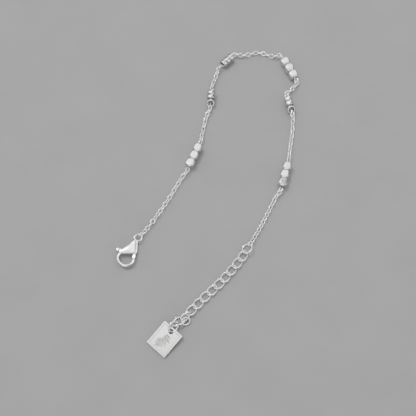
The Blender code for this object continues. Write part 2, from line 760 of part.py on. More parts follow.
def clasp(material):
    """Lobster clasp: the body with its eye, hook and pivot pin, and the lever that opens it."""
    pivot = Vector(CLASP_KNUCKLE[:2])
    middle = CLASP_HEIGHT / 2.0
    up = Vector((0.0, 0.0, 1.0))
    flat = (Vector((1.0, 0.0, 0.0)), Vector((0.0, 1.0, 0.0)), up)
    centre = route("clasp")[0]
    base = bpy.data.objects.new("clasp_place", None)
    bpy.context.scene.collection.objects.link(base)
    base.location = Vector((centre.x, centre.y, 0.0)) * MM
    base.rotation_euler = (0.0, 0.0, math.radians(CLASP_HEADING))

    plates = slab(hull_outline((CLASP_NECK, CLASP_KNUCKLE, CLASP_LUG), DISC_STEPS), 0.0, CLASP_HEIGHT,
                  CLASP_BEVEL)
    eye_points = link_points(Vector((0.0, 0.0, middle)), flat, CLASP_EYE_OUTER, CLASP_EYE_OUTER,
                             CLASP_EYE_WALL, 0.0, RING_STEPS)
    eye = closed_tube(eye_points, up, CLASP_EYE_WALL / 2.0, CLASP_EYE_HEIGHT / 2.0,
                      CHAIN_SIDES + 1)
    hook_points = []
    for step in range(HOOK_STEPS + 1):
        angle = HOOK_ROOT_ANGLE + (HOOK_TIP_ANGLE - HOOK_ROOT_ANGLE) * step / HOOK_STEPS
        spot = Vector((HOOK_CENTRE, 0.0)) + polar(angle, (HOOK_OUTER - HOOK_WIRE) / 2.0)
        hook_points.append(Vector((spot.x, spot.y, middle)))
    hook = open_tube(hook_points, up, HOOK_WIRE / 2.0, HOOK_HEIGHT / 2.0, HOOK_SIDES)
    body = combined(mesh_of("plates", plates), mesh_of("eye", eye), "UNION")
    body = combined(body, mesh_of("hook", hook), "UNION")

    slot = LEVER_THICK / 2.0 + LEVER_PLAY
    low = middle - slot
    high = middle + slot
    half_arm = LEVER_ARM / 2.0 + LINK_PLAY
    for outline in (sweep_outline(pivot, TAB_ANGLE, half_arm, TAB_REACH),
                    sweep_outline(pivot, GATE_ANGLE, half_arm, GATE_REACH),
                    circle_outline(pivot.x, pivot.y, LEVER_KNUCKLE / 2.0 + LINK_PLAY, DISC_STEPS)):
        body = combined(body, mesh_of("slot", prism(outline, low, high)), "DIFFERENCE")
    pin = prism(circle_outline(pivot.x, pivot.y, PIVOT_PIN / 2.0, PIVOT_STEPS), low - slot, high + slot)
    body = combined(body, mesh_of("pin", pin), "UNION")
    placed("clasp_body", finished(body, CLASP_SHARP), material, parent=base)

    half = LEVER_THICK / 2.0
    origin = Vector((0.0, 0.0))
    tab = polar(TAB_ANGLE, TAB_REACH)
    knuckle = circle_outline(0.0, 0.0, LEVER_KNUCKLE / 2.0, DISC_STEPS)
    lever = mesh_of("knuckle", prism(knuckle, -half, half))
    for angle, reach in ((TAB_ANGLE, TAB_REACH), (GATE_ANGLE, GATE_REACH - LEVER_ARM)):
        shape = prism(arm_outline(origin, angle, LEVER_ARM, reach), -half, half)
        lever = combined(lever, mesh_of("arm", shape), "UNION")
    knob = slab(circle_outline(tab.x, tab.y, TAB_SIZE / 2.0, TAB_STEPS), -TAB_HEIGHT / 2.0,
                TAB_HEIGHT / 2.0, TAB_BEVEL)
    lever = combined(lever, mesh_of("knob", knob), "UNION")
    gate = slab(gate_outline(origin), -GATE_HEIGHT / 2.0, GATE_HEIGHT / 2.0, GATE_BEVEL)
    lever = combined(lever, mesh_of("gate", gate), "UNION")
    bore = PIVOT_PIN / 2.0 + PIVOT_PLAY
    drill = prism(circle_outline(0.0, 0.0, bore, PIVOT_STEPS), -CLASP_HEIGHT, CLASP_HEIGHT)
    lever = combined(lever, mesh_of("drill", drill), "DIFFERENCE")
    placed("clasp_lever", finished(lever, CLASP_SHARP), material, (pivot.x, pivot.y, middle), base)


def bracelet():
    """Build every piece from the clasp to the tag."""
    materials = {
        "wire": steel_material("polished_wire", STEEL, 0.18),
        "ring": steel_material("polished_ring", STEEL, 0.15),
        "cube": steel_material("satin_cube", SATIN_STEEL, 0.38),
        "tag": steel_material("satin_tag", SATIN_STEEL, 0.42),
        "clasp": steel_material("polished_clasp", STEEL, 0.22),
    }
    meshes = {"cube": cube_mesh(), "ring": ring_mesh()}
    clasp(materials["clasp"])
    groups = [BeadGroup(*row) for row in BEAD_GROUPS]
    start = clasp_eye_anchor()
    first_roll = CLASP_LINK_ROLL
    roll_in = []
    for index, group in enumerate(groups):
        last = chain_stretch(f"chain_{index + 1}", start, group.anchor("first"), first_roll, None,
                             materials["wire"])
        roll_in.append(last + 90.0)
        start = group.anchor("last")
        first_roll = -CHAIN_ROLL
    chain_stretch(f"chain_{len(groups) + 1}", start, joint_ring_anchor(), first_roll,
                  -CHAIN_ROLL, materials["wire"])
    for group, roll in zip(groups, roll_in):
        group.build(meshes, materials, (roll, CHAIN_ROLL))
    joint_ring(materials["wire"])
    extender(materials["wire"])
    tag(materials["tag"])
    tag_ring(materials["wire"])


clear_scene()
bracelet()
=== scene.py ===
"""Looks of a fine steel cable-chain bracelet with cube and ring beads, lying open.

Shapes are made in millimetres and become metres when a piece is placed. +Z is up, and the
bracelet rests on z = 0 with the origin under the middle of its outline.
"""

import math

import bmesh
import bpy
import numpy as np
from mathutils import Matrix, Vector


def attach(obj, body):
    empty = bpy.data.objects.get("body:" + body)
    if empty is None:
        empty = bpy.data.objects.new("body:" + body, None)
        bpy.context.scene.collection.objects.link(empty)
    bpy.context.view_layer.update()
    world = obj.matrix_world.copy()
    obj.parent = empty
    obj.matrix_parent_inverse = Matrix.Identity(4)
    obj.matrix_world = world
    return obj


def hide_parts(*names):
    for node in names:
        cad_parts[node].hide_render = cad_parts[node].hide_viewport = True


MM = 0.001

# Fine cable chain, its links soldered shut on one side
CHAIN_WIRE = 0.30
CHAIN_LINK_WIDTH = 1.40
CHAIN_PITCH = 1.25
CHAIN_BITE = 0.08
CHAIN_TOUCH = 0.01
CHAIN_ROLL = 45.0
CHAIN_RAMP = 3.5
CLASP_LINK_ROLL = 70.0
ROLL_RAMP = 0.4
LINK_STEPS = 36
LINK_SIDES = 12
SEAM_SWELL = 0.14
SEAM_SPREAD = 0.16

# Free room between two linked pieces, and between neighbouring beads
LINK_PLAY = 0.10
BEAD_GAP = 0.10

# Wire pin through each bead group, with an oval eye at both ends
PIN_WIRE = 0.34
PIN_PLAY = 0.18
EYE_WIRE = 0.30
EYE_LENGTH = 1.80
EYE_WIDTH = 1.40
PIN_STEPS = 12

# Cube bead: bevelled edges, and corners rounded by a ball
CUBE_SIZE = 2.50
CUBE_BEVEL = 0.36
CUBE_BALL = 1.66
CUBE_SOFTNESS = 44.0
CUBE_GRID = 30
BORE_RIM = 0.07
BORE_SIDES = 32
DRILL_PAST = 0.20
WELD = 1e-4

# Ring bead with a rounded wall
RING_OUTER = 2.50
RING_WALL = 0.50
RING_WIDTH = 1.35
RING_LEAN = 40.0
RING_SQUARENESS = 0.78
LEAN_PITCH = 1.93
LEAN_TO_EYE = 1.75
ROUND_STEPS = 72
ROUND_SIDES = 24

# Main jump ring, a wire bent round with a fine slit where it closes
JOINT_RING_OUTER = 3.20
JOINT_RING_WIRE = 0.40
JOINT_RING_SLIT = 72.0
SLIT = 0.035
THICK_WIRE_SIDES = 18
# Thickness of a slit wire's last sections, as shares of the whole
SLIT_ENDS = (0.86, 0.97)

# Extender of curb links
CURB_WIRE = 0.42
CURB_LENGTH = 3.52
CURB_WIDTH = 2.50
CURB_TWIST = 0.32
CURB_PITCH = 2.52
CURB_COUNT = 9
CURB_STEPS = 56
SIDE_RING_SLIT = 150.0

# Rectangular tag with a hole and an engraved top
TAG_WIDTH = 6.10
TAG_LENGTH = 7.00
TAG_THICK = 0.70
TAG_BEVEL = 0.10
TAG_HOLE = 1.40
TAG_HOLE_INSET = 1.00
# Ends and sides of the tag, measured from the middle of its hole
TAG_NEAR = -TAG_HOLE_INSET
TAG_FAR = TAG_LENGTH - TAG_HOLE_INSET
TAG_SIDE = TAG_WIDTH / 2.0
TAG_EDGE_STEPS = 4
TAG_HEADING = -130.9
TAG_RING_OUTER = 3.40
TAG_RING_WIRE = 0.50
TAG_RING_ROLL = 125.0
TAG_RING_SLIT = 105.0
TAG_CELL = 0.03
GROOVE_WIDTH = 0.16
GROOVE_DEPTH = 0.075
ENGRAVING_INSET = 0.15
BORDER_INSET = 0.50
BORDER_WIDTH = 0.11
BORDER_TO_HOLE = 0.35
SPRIG_START = (1.00, -0.25)
SPRIG_LENGTH = 3.55
SPRIG_SWAY = 0.45
SPRIG_BEND = 1.4
SPRIG_STEPS = 24
# Step of the stem at which each pair of leaves grows, and the leaves' length
SPRIG_LEAVES = ((2, 1.15), (6, 1.55), (10, 1.70), (14, 1.55), (18, 1.25), (22, 0.90))
TIP_LEAF = 0.80
LEAF_ANGLE = 50.0
LEAF_BOW = 0.15
LEAF_RIB = 0.62
LEAF_STEPS = 8

# Clasp, measured from the middle of its eye towards the hook; the thumb tab is on the -y side
CLASP_HEADING = -117.5
CLASP_HEIGHT = 2.00
CLASP_MIDDLE = CLASP_HEIGHT / 2.0
CLASP_BEVEL = 0.24
CLASP_EYE_OUTER = 2.34
CLASP_EYE_WALL = 0.38
CLASP_EYE_HEIGHT = 0.52
CLASP_EYE_SIDES = 16
CLASP_NECK = (1.35, 0.00, 0.45)
CLASP_KNUCKLE = (3.95, 1.10, 0.62)
CLASP_LUG = (5.75, -1.98, 0.50)
CLASP_CROWN = 0.13
PLATE_STEP = 0.34
PLATE_LAP = 0.05
SIDE_SLOT_START = 0.45
SIDE_SLOT_DEPTH = 0.60
SIDE_SLOT_PAST = 1.00
PILLOW_CELL = 0.08
CROWN_SIDE = 0.50
PILLOW_BEVEL_STEPS = 7
PILLOW_STEPS = 14
HOOK_CENTRE = 6.50
HOOK_OUTER = 5.00
HOOK_WIRE = 0.64
HOOK_HEIGHT = 1.00
HOOK_SWELL = 0.20
HOOK_ROOT_ANGLE = -110.0
HOOK_TIP_ANGLE = 106.0
HOOK_STEPS = 72
HOOK_SIDES = 24
DISC_STEPS = 48

# Lever of the clasp
LEVER_OPENING = 25.0
LEVER_THICK = 0.44
LEVER_PLAY = 0.08
LEVER_ARM = 0.60
LEVER_KNUCKLE = 1.20
PIVOT_PIN = 0.50
PIVOT_PLAY = 0.10
SWEEP_BULGE = 1.10
GATE_ANGLE = 27.0
GATE_ROOT_WIDTH = 0.84
GATE_TIP_WIDTH = 0.68
GATE_REACH = 2.05
GATE_HEIGHT = 1.10
GATE_BEVEL = 0.12
GATE_BEVEL_STEPS = 3
GATE_STEPS = 13
TAB_ANGLE = -69.0
TAB_REACH = 4.50
TAB_SIZE = 1.04
TAB_HEIGHT = 1.30
TAB_BEVEL = 0.26
TAB_BEVEL_STEPS = 6

WIRE_SHARP = 50.0
PLATE_SHARP = 32.0
PATH_STEPS = 16
STRAIGHT_TURN = 1e-6

PLAN_MIDDLE = (-2.06, -1.605)
ROUTE = {
    "clasp": ((-22.49, -16.50),),
    "chain_1": ((-20.55, -14.20), (-18.60, -11.45), (-16.70, -8.35), (-14.65, -5.05),
                (-12.60, -1.35), (-11.00, 1.55)),
    "group_a": ((-7.55, 8.30),),
    "chain_2": ((-5.40, 14.90), (-4.90, 17.35), (-4.40, 19.80), (-3.80, 22.40)),
    "group_b": ((-2.60, 28.03),),
    "chain_3": ((-1.75, 33.60), (-1.20, 35.60), (-0.55, 37.40)),
    "group_c": ((2.41, 41.30),),
    "chain_4": ((7.00, 43.35), (9.40, 44.25), (11.90, 44.72), (14.40, 44.25), (16.80, 43.15)),
    "group_d": ((21.40, 38.35),),
    "chain_5": ((22.80, 32.30), (21.50, 30.50)),
    "group_e": ((20.85, 25.72),),
    "chain_6": ((21.65, 20.20), (21.45, 17.30), (21.00, 14.40), (20.45, 11.50), (20.00, 9.20)),
    "group_f": ((18.32, 2.30),),
    "chain_7": ((15.75, -4.00), (14.15, -7.10), (12.60, -10.15), (11.10, -13.00), (9.60, -15.60),
                (8.35, -17.70)),
    "joint_ring": ((7.07, -19.63),),
    "extender": ((6.15, -21.35), (3.05, -25.30), (-0.30, -29.05), (-4.05, -32.60), (-7.55, -36.10),
                 (-9.30, -37.95)),
}
BEAD_GROUPS = (
    ("group_a", "cube", 68.0, None),
    ("group_b", "ring", 86.0, "first"),
    ("group_c", "ring", 44.7, None),
    ("group_d", "cube", -65.0, None),
    ("group_e", "ring", -78.0, "last"),
    ("group_f", "cube", -106.2, None),
)
BEADS_IN_GROUP = 3
# Small turns of each cube about its pin, in degrees, so that the faces catch the light differently
CUBE_TURNS = (-5.0, 3.0, 6.0, 4.0, -6.0, 2.0, -3.0, 5.0, -7.0)
LOOSE_LINKS = {
    "extender_10": (-1.346, -1.519, 1.01, -139.6, -9.2, -53.5, 3.42, 2.42, 0.30),
    "extender_11": (-3.336, -2.919, 0.87, -150.9, 1.1, 31.9, 4.02, 2.82, 0.12),
    "side_ring": (-1.386, -2.889, 0.86, -16.2, -24.5, 30.8, 2.50, 2.50, 0.0),
}
TAG_HOLE_PLACE = (-5.116, -5.589)

# Each metal: name, darkest and lightest tone, roughness, and depth of its ripples or brush lines
WIRE_FINISH = ("polished_wire", (0.84, 0.84, 0.83), (0.95, 0.95, 0.94), 0.10, 0.0022)
# The ring beads' tones are darker than the wire's: painted shade that stands in for the dark reflections
# of the polished rings.
SHADED_RING_FINISH = ("polished_ring", (0.50, 0.50, 0.50), (0.72, 0.72, 0.72), 0.09, 0.0015)
CLASP_FINISH = ("polished_clasp", (0.82, 0.82, 0.81), (0.93, 0.93, 0.92), 0.16, 0.0035)
CUBE_FINISH = ("satin_cube", (0.62, 0.62, 0.61), (0.76, 0.76, 0.75), 0.14, 0.0022)
TAG_FINISH = ("satin_tag", (0.62, 0.62, 0.61), (0.76, 0.76, 0.75), 0.20, 0.0020)

# Grain of the metals in features per metre, and how much each kind adds to the roughness
POLISH_CLOUDS = 420.0
POLISH_HAZE = 900.0
POLISH_HAZE_ROUGHNESS = 0.10
POLISH_MARKS = (700.0, 14000.0, 3500.0)
POLISH_MARKS_RANGE = (0.55, 0.75)
POLISH_MARKS_ROUGHNESS = 0.06
POLISH_MARKS_DEPTH = 0.0012
POLISH_MARKS_STRENGTH = 0.6
POLISH_RIPPLES = 1500.0
SATIN_CLOUDS = 500.0
SATIN_CLOUD_ROUGHNESS = (-0.03, 0.05)
CUBE_BRUSH = (3200.0, 5200.0, 5200.0)
TAG_BRUSH = (900.0, 9000.0, 3000.0)
# Coarse brush lines against the fine ones: size on each axis, depth and strength
COARSE_BRUSH = (0.5, 0.18, 0.18)
COARSE_DEPTH = 1.6
COARSE_STRENGTH = 0.7
COARSE_ROUGHNESS = 0.12
GROOVE_TONE = (0.14, 0.14, 0.14)
GROOVE_SHARE = 0.92
GROOVE_ROUGHNESS = 0.10

# Floor, in metres
FLOOR_HALF = 3.0
FLOOR_DROP = 0.00002
FLOOR_TONES = ((0.18, 0.18, 0.179), (0.20, 0.20, 0.1985))
FLOOR_CLOUDS = 60.0
FLOOR_ROUGHNESS = 0.85

# Lights, in metres, watts and degrees
OVERHEAD_PLACE = (-0.03, 0.11, 0.36)
OVERHEAD_TARGET = (-0.01, 0.02, 0.0)
OVERHEAD_SIZE = 0.32
OVERHEAD_POWER = 0.9
OVERHEAD_COLOUR = (1.0, 0.99, 0.97)
KEY_WAY = (0.40, -0.45, -1.0)
KEY_WIDTH = 9.0
KEY_POWER = 2.0
# Light of the surround against the sine of the height above the horizon, in panels all round
RING_OF_LIGHT = ((0.12, 0.06), (0.30, 3.60), (0.66, 3.60), (0.86, 1.20))
RING_BLUE = 1.02
PANELS = 4.0
PANEL_TURN = -20.0
PANEL_GAP = 0.0
# What the camera sees of the surround
BACKDROP = (0.39, 0.39, 0.388)

# Camera at the photo's angle, in metres, millimetres and degrees
CAMERA_PLACE = (-0.00144, -0.066395, 0.150)
CAMERA_TILT = 22.0
CAMERA_LENS = 50.0
CAMERA_CLIP = (0.01, 5.0)

UP = Vector((0.0, 0.0, 1.0))
FLAT = (Vector((1.0, 0.0, 0.0)), Vector((0.0, 1.0, 0.0)), UP)


# Materials


class Graph:
    """Short way to build the nodes of one material or world."""

    def __init__(self, owner, shader, place="Object"):
        owner.use_nodes = True
        self.owner = owner
        self.tree = owner.node_tree
        self.shader = self.tree.nodes[shader]
        self.place = self.node("ShaderNodeTexCoord").outputs[place]

    def node(self, kind, **values):
        made = self.tree.nodes.new(kind)
        for key, value in values.items():
            setattr(made, key, value)
        return made

    def link(self, source, target):
        self.tree.links.new(source, target)

    def noise(self, stretch, detail, roughness=0.6):
        """Noise whose features are about 1 / stretch metres long, for all axes or for each."""
        mapping = self.node("ShaderNodeMapping")
        mapping.inputs["Scale"].default_value = (stretch,) * 3 if isinstance(stretch, float) else stretch
        self.link(self.place, mapping.inputs["Vector"])
        noise = self.node("ShaderNodeTexNoise")
        noise.inputs["Scale"].default_value = 1.0
        noise.inputs["Detail"].default_value = detail
        noise.inputs["Roughness"].default_value = roughness
        self.link(mapping.outputs["Vector"], noise.inputs["Vector"])
        return noise.outputs["Fac"]

    def spread(self, source, low, high, start=0.3, end=0.7):
        """Map a value's usual range to another one."""
        spread = self.node("ShaderNodeMapRange")
        for socket, value in zip(("From Min", "From Max", "To Min", "To Max"), (start, end, low, high)):
            spread.inputs[socket].default_value = value
        self.link(source, spread.inputs["Value"])
        return spread.outputs["Result"]

    def math(self, operation, *values):
        """Result of one sum on numbers and sockets."""
        step = self.node("ShaderNodeMath", operation=operation)
        for socket, value in zip(step.inputs, values):
            self.fill(socket, value)
        return step.outputs["Value"]

    def blend(self, share, first, second):
        """Colour between two colours."""
        mix = self.node("ShaderNodeMix", data_type="RGBA")
        self.link(share, mix.inputs["Factor"])
        self.fill(mix.inputs["A"], first)
        self.fill(mix.inputs["B"], second)
        return mix.outputs["Result"]

    def fill(self, socket, value):
        """Put a number, a colour or another node's output on a socket."""
        if isinstance(value, float):
            socket.default_value = value
        elif isinstance(value, tuple):
            socket.default_value = (*value, 1.0)
        else:
            self.link(value, socket)

    def bump(self, height, distance, strength=1.0, before=None):
        """Normal of a surface with this height, on top of another normal."""
        bump = self.node("ShaderNodeBump")
        bump.inputs["Distance"].default_value = distance
        bump.inputs["Strength"].default_value = strength
        self.link(height, bump.inputs["Height"])
        if before is not None:
            self.link(before, bump.inputs["Normal"])
        return bump.outputs["Normal"]

    def surface(self, **sockets):
        """Link outputs to the shader's sockets, named with _ for a space."""
        for name, source in sockets.items():
            self.link(source, self.shader.inputs[name.replace("_", " ")])


def metal(name):
    """Nodes of a bare metal."""
    graph = Graph(bpy.data.materials.new(name), "Principled BSDF")
    graph.shader.inputs["Metallic"].default_value = 1.0
    return graph


def polished_steel(name, dark, light, roughness, ripple):
    """Polished steel with faint handling marks and an uneven, cast or drawn surface."""
    graph = metal(name)
    tone = graph.spread(graph.noise(POLISH_CLOUDS, detail=3.0), 0.0, 1.0)
    haze = graph.spread(graph.noise(POLISH_HAZE, detail=5.0), 0.0, POLISH_HAZE_ROUGHNESS)
    marks = graph.noise(POLISH_MARKS, detail=3.0)
    smear = graph.math("ADD", haze, graph.spread(marks, 0.0, POLISH_MARKS_ROUGHNESS, *POLISH_MARKS_RANGE))
    uneven = graph.bump(graph.noise(POLISH_RIPPLES, detail=2.0), ripple * MM)
    graph.surface(Base_Color=graph.blend(tone, dark, light),
                  Roughness=graph.math("ADD", smear, roughness),
                  Normal=graph.bump(marks, POLISH_MARKS_DEPTH * MM, POLISH_MARKS_STRENGTH, uneven))
    return graph.owner


def satin_steel(name, dark, light, roughness, depth, brush, engraved=False):
    """Satin steel, brushed along its own x axis; engraved lines are duller and darker."""
    graph = metal(name)
    fine = graph.noise(brush, detail=4.0, roughness=0.7)
    coarse = graph.noise(tuple(np.multiply(brush, COARSE_BRUSH)), detail=3.0)
    cloud = graph.noise(SATIN_CLOUDS, detail=3.0)
    tone = graph.math("ADD", graph.spread(fine, 0.0, 0.5), graph.spread(cloud, 0.0, 0.5))
    colour = graph.blend(tone, dark, light)
    smear = graph.math("ADD", graph.spread(coarse, 0.0, COARSE_ROUGHNESS),
                       graph.spread(cloud, *SATIN_CLOUD_ROUGHNESS))
    rough = graph.math("ADD", smear, roughness)
    if engraved:
        groove = graph.node("ShaderNodeAttribute", attribute_name="groove").outputs["Fac"]
        colour = graph.blend(graph.math("MULTIPLY", groove, GROOVE_SHARE), colour, GROOVE_TONE)
        rough = graph.math("ADD", rough, graph.math("MULTIPLY", groove, GROOVE_ROUGHNESS))
    lines = graph.bump(fine, depth * MM)
    graph.surface(Base_Color=colour, Roughness=rough,
                  Normal=graph.bump(coarse, COARSE_DEPTH * depth * MM, COARSE_STRENGTH, lines))
    return graph.owner


# Shapes


def rotated_axes(heading, pitch, roll):
    """Along, across and up axes for a heading on the floor, a pitch upwards and a roll."""
    level = math.cos(math.radians(pitch))
    along = Vector((math.cos(math.radians(heading)) * level,
                    math.sin(math.radians(heading)) * level,
                    math.sin(math.radians(pitch))))
    return axes_about(along, roll)


def axes_about(direction, roll):
    """Along, across and up axes of a piece that lies along direction, rolled about it."""
    along = direction.normalized()
    across = Vector((-along.y, along.x, 0.0)).normalized()
    up = along.cross(across)
    turn = math.radians(roll)
    return (along,
            across * math.cos(turn) + up * math.sin(turn),
            up * math.cos(turn) - across * math.sin(turn))


def loop_points(centre, axes, half_length, half_width, twist, steps):
    """Centre line of a closed oval link as an array."""
    angle = 2.0 * np.pi * np.arange(steps) / steps
    along, across, up = (np.array(axis) for axis in axes)
    return (np.array(centre) + np.outer(half_length * np.cos(angle), along)
            + np.outer(half_width * np.sin(angle), across)
            + np.outer(twist * np.sin(2.0 * angle), up))


def link_points(centre, axes, length, width, wire, twist, steps):
    """Centre line of an oval link given by its outside length and width."""
    return loop_points(centre, axes, (length - wire) / 2.0, (width - wire) / 2.0, twist, steps)


def section_rings(points, tangents, up, half_in, half_up, sides, squareness=1.0):
    """Rings of points round a centre line; squareness under 1 flattens the section's sides."""
    tangents = tangents / np.linalg.norm(tangents, axis=1, keepdims=True)
    inward = np.cross(np.array(up), tangents)
    inward /= np.linalg.norm(inward, axis=1, keepdims=True)
    beside = np.cross(tangents, inward)
    angle = 2.0 * np.pi * np.arange(sides) / sides
    across = np.sign(np.cos(angle)) * np.abs(np.cos(angle)) ** squareness
    upward = np.sign(np.sin(angle)) * np.abs(np.sin(angle)) ** squareness
    half_in = np.broadcast_to(half_in, len(points))
    half_up = np.broadcast_to(half_up, len(points))
    return (points[:, None, :]
            + inward[:, None, :] * (half_in[:, None] * across)[:, :, None]
            + beside[:, None, :] * (half_up[:, None] * upward)[:, :, None])


def ring_faces(count, sides, closed):
    """Quads between the rings of a tube."""
    index = np.arange(count if closed else count - 1)
    side = np.arange(sides)
    here = (index[:, None] * sides + side).ravel()
    beyond = (index[:, None] * sides + (side + 1) % sides).ravel()
    after = (((index + 1) % count)[:, None] * sides + side).ravel()
    after_beyond = (((index + 1) % count)[:, None] * sides + (side + 1) % sides).ravel()
    return np.stack([here, beyond, after_beyond, after], axis=1).tolist()


def closed_tube(points, up, half_in, half_up, sides, squareness=1.0):
    """Tube round a closed centre line."""
    tangents = np.roll(points, -1, axis=0) - np.roll(points, 1, axis=0)
    rings = section_rings(points, tangents, up, half_in, half_up, sides, squareness)
    return rings.reshape(-1, 3), ring_faces(len(points), sides, True)


def capped(rings):
    """Closed shape through rings of as many points each, with flat ends."""
    sides = len(rings[0])
    faces = ring_faces(len(rings), sides, False)
    last = (len(rings) - 1) * sides
    faces.append(list(reversed(range(sides))))
    faces.append([last + side for side in range(sides)])
    return np.concatenate(rings), faces


def open_tube(points, up, half_in, half_up, sides):
    """Tube along an open centre line."""
    return capped(section_rings(points, np.gradient(points, axis=0), up, half_in, half_up, sides))


def soldered_link(points, up, wire, sides, seam_angle):
    """Closed link whose wire swells a little at its soldered seam."""
    angle = 2.0 * np.pi * np.arange(len(points)) / len(points)
    apart = (angle - seam_angle + np.pi) % (2.0 * np.pi) - np.pi
    half = wire / 2.0 * (1.0 + SEAM_SWELL * np.exp(-(apart / SEAM_SPREAD) ** 2))
    return closed_tube(points, up, half, half, sides)


def slit_ring(centre, axes, outer, wire, slit_angle):
    """Jump ring bent from one wire, with a fine slit at slit_angle in degrees."""
    radius = (outer - wire) / 2.0
    half_slit = SLIT / radius / 2.0
    start = math.radians(slit_angle)
    angle = np.linspace(start + half_slit, start + 2.0 * np.pi - half_slit, ROUND_STEPS)
    points = (np.array(centre) + np.outer(radius * np.cos(angle), np.array(axes[0]))
              + np.outer(radius * np.sin(angle), np.array(axes[1])))
    half = np.full(ROUND_STEPS, wire / 2.0)
    for place, share in enumerate(SLIT_ENDS):
        half[place] *= share
        half[-1 - place] *= share
    return open_tube(points, axes[2], half, half, THICK_WIRE_SIDES)


def at_height(outline, height):
    """Points of a flat outline at one height, or each at its own."""
    return np.column_stack([outline, np.broadcast_to(height, len(outline))])


def prism(outline, low, high):
    """Plain plate."""
    return capped([at_height(outline, height) for height in (low, high)])


def slab(outline, low, high, bevel, steps):
    """Flat plate with its top and bottom edges rounded in steps."""
    outline = np.array(outline)
    first = outline - np.roll(outline, 1, axis=0)
    second = np.roll(outline, -1, axis=0) - outline
    first /= np.linalg.norm(first, axis=1, keepdims=True)
    second /= np.linalg.norm(second, axis=1, keepdims=True)
    inner = np.stack([-first[:, 1] - second[:, 1], first[:, 0] + second[:, 0]], axis=1)
    inner /= np.linalg.norm(inner, axis=1, keepdims=True)
    levels = []
    for angle in np.linspace(0.0, 0.5 * math.pi, steps + 1):
        levels.append((bevel * (1.0 - math.sin(angle)), low + bevel * (1.0 - math.cos(angle))))
    levels += [(inset, low + high - height) for inset, height in reversed(levels)]
    return capped([at_height(outline + inner * inset, height) for inset, height in levels])


def even_outline(outline, spacing):
    """The same outline with points about as far apart as spacing."""
    closed = np.array([*outline, outline[0]])
    lengths = np.concatenate([[0.0], np.cumsum(np.linalg.norm(np.diff(closed, axis=0), axis=1))])
    places = np.linspace(0.0, lengths[-1], int(lengths[-1] / spacing) + 1)[:-1]
    return np.column_stack([np.interp(places, lengths, closed[:, axis]) for axis in range(2)])


def crown_share(outline, points):
    """Smooth rise over a plate, from 0 at its bevelled sides to 1 at its middle."""
    way = np.roll(outline, -1, axis=0) - outline
    length = np.linalg.norm(way, axis=1)
    sides = length > CROWN_SIDE
    inward = np.column_stack([-way[sides, 1], way[sides, 0]]) / length[sides][:, None]
    start = np.sum(outline[sides] * inward, axis=1) + CLASP_BEVEL
    middle = outline[sides].mean(axis=0)
    depth = (points @ inward.T - start) / (middle @ inward.T - start)
    return np.prod(np.clip(depth, 0.0, None), axis=1)


def pillow(outline, foot, height, upward):
    """Clasp plate with a flat foot, a rounded edge and a crowned top; upward is 1.0 or -1.0."""
    corners = np.array(outline)
    outline = even_outline(outline, PILLOW_CELL)
    way = np.roll(outline, -1, axis=0) - np.roll(outline, 1, axis=0)
    inward = np.column_stack([-way[:, 1], way[:, 0]]) / np.linalg.norm(way, axis=1)[:, None]
    shoulder = height - CLASP_CROWN
    rings = [at_height(outline, 0.0)]
    for angle in np.linspace(0.0, 0.5 * np.pi, PILLOW_BEVEL_STEPS):
        inset = CLASP_BEVEL * (1.0 - math.cos(angle))
        rings.append(at_height(outline + inward * inset, shoulder - CLASP_BEVEL * (1.0 - math.sin(angle))))
    edge = rings[-1][:, :2]
    middle = edge.mean(axis=0)
    inside = [edge + (middle - edge) * share for share in np.linspace(0.0, 1.0, PILLOW_STEPS)[1:-1]]
    inside.append(middle[None, :])
    shares = [crown_share(corners, spots) for spots in inside]
    highest = max(share.max() for share in shares)
    rings.extend(at_height(spots, shoulder + CLASP_CROWN * share / highest)
                 for spots, share in zip(inside, shares))
    verts = np.concatenate(rings)
    verts[:, 2] = foot + upward * verts[:, 2]
    count = len(outline)
    tip = len(verts) - 1
    faces = ring_faces(len(rings) - 1, count, False)
    faces.append(list(reversed(range(count))))
    faces.extend([tip - count + index, tip - count + (index + 1) % count, tip] for index in range(count))
    if upward < 0.0:
        faces = [face[::-1] for face in faces]
    return verts, faces


def grid_of(columns, rows):
    """Vertex numbers of a grid, and its quads."""
    index = np.arange(columns * rows).reshape(columns, rows)
    quads = np.stack([index[:-1, :-1], index[1:, :-1], index[1:, 1:], index[:-1, 1:]], axis=-1)
    return index, quads.reshape(-1, 4)


def circle_outline(x, y, radius, steps=DISC_STEPS):
    """Points of a circle, anticlockwise."""
    return [(x + radius * math.cos(2.0 * math.pi * step / steps),
             y + radius * math.sin(2.0 * math.pi * step / steps)) for step in range(steps)]


def hull_outline(discs):
    """Outline round several discs, each given as x, y and radius, anticlockwise."""
    points = sorted({point for x, y, radius in discs for point in circle_outline(x, y, radius)})

    def turn(a, b, c):
        return (b[0] - a[0]) * (c[1] - a[1]) - (b[1] - a[1]) * (c[0] - a[0])

    def half(ordered):
        chain = []
        for point in ordered:
            while len(chain) > 1 and turn(chain[-2], chain[-1], point) <= STRAIGHT_TURN:
                chain.pop()
            chain.append(point)
        return chain

    return half(points)[:-1] + half(points[::-1])[:-1]


def mesh_of(name, *parts):
    """One mesh from separate closed shapes, in millimetres."""
    verts = []
    faces = []
    start = 0
    for part_verts, part_faces in parts:
        verts.extend(np.asarray(part_verts).tolist())
        faces.extend([start + index for index in face] for face in part_faces)
        start += len(part_verts)
    mesh = bpy.data.meshes.new(name)
    mesh.from_pydata(verts, [], faces)
    return mesh


def placed(name, data):
    """New object in the scene."""
    item = bpy.data.objects.new(name, data)
    bpy.context.scene.collection.objects.link(item)
    return item


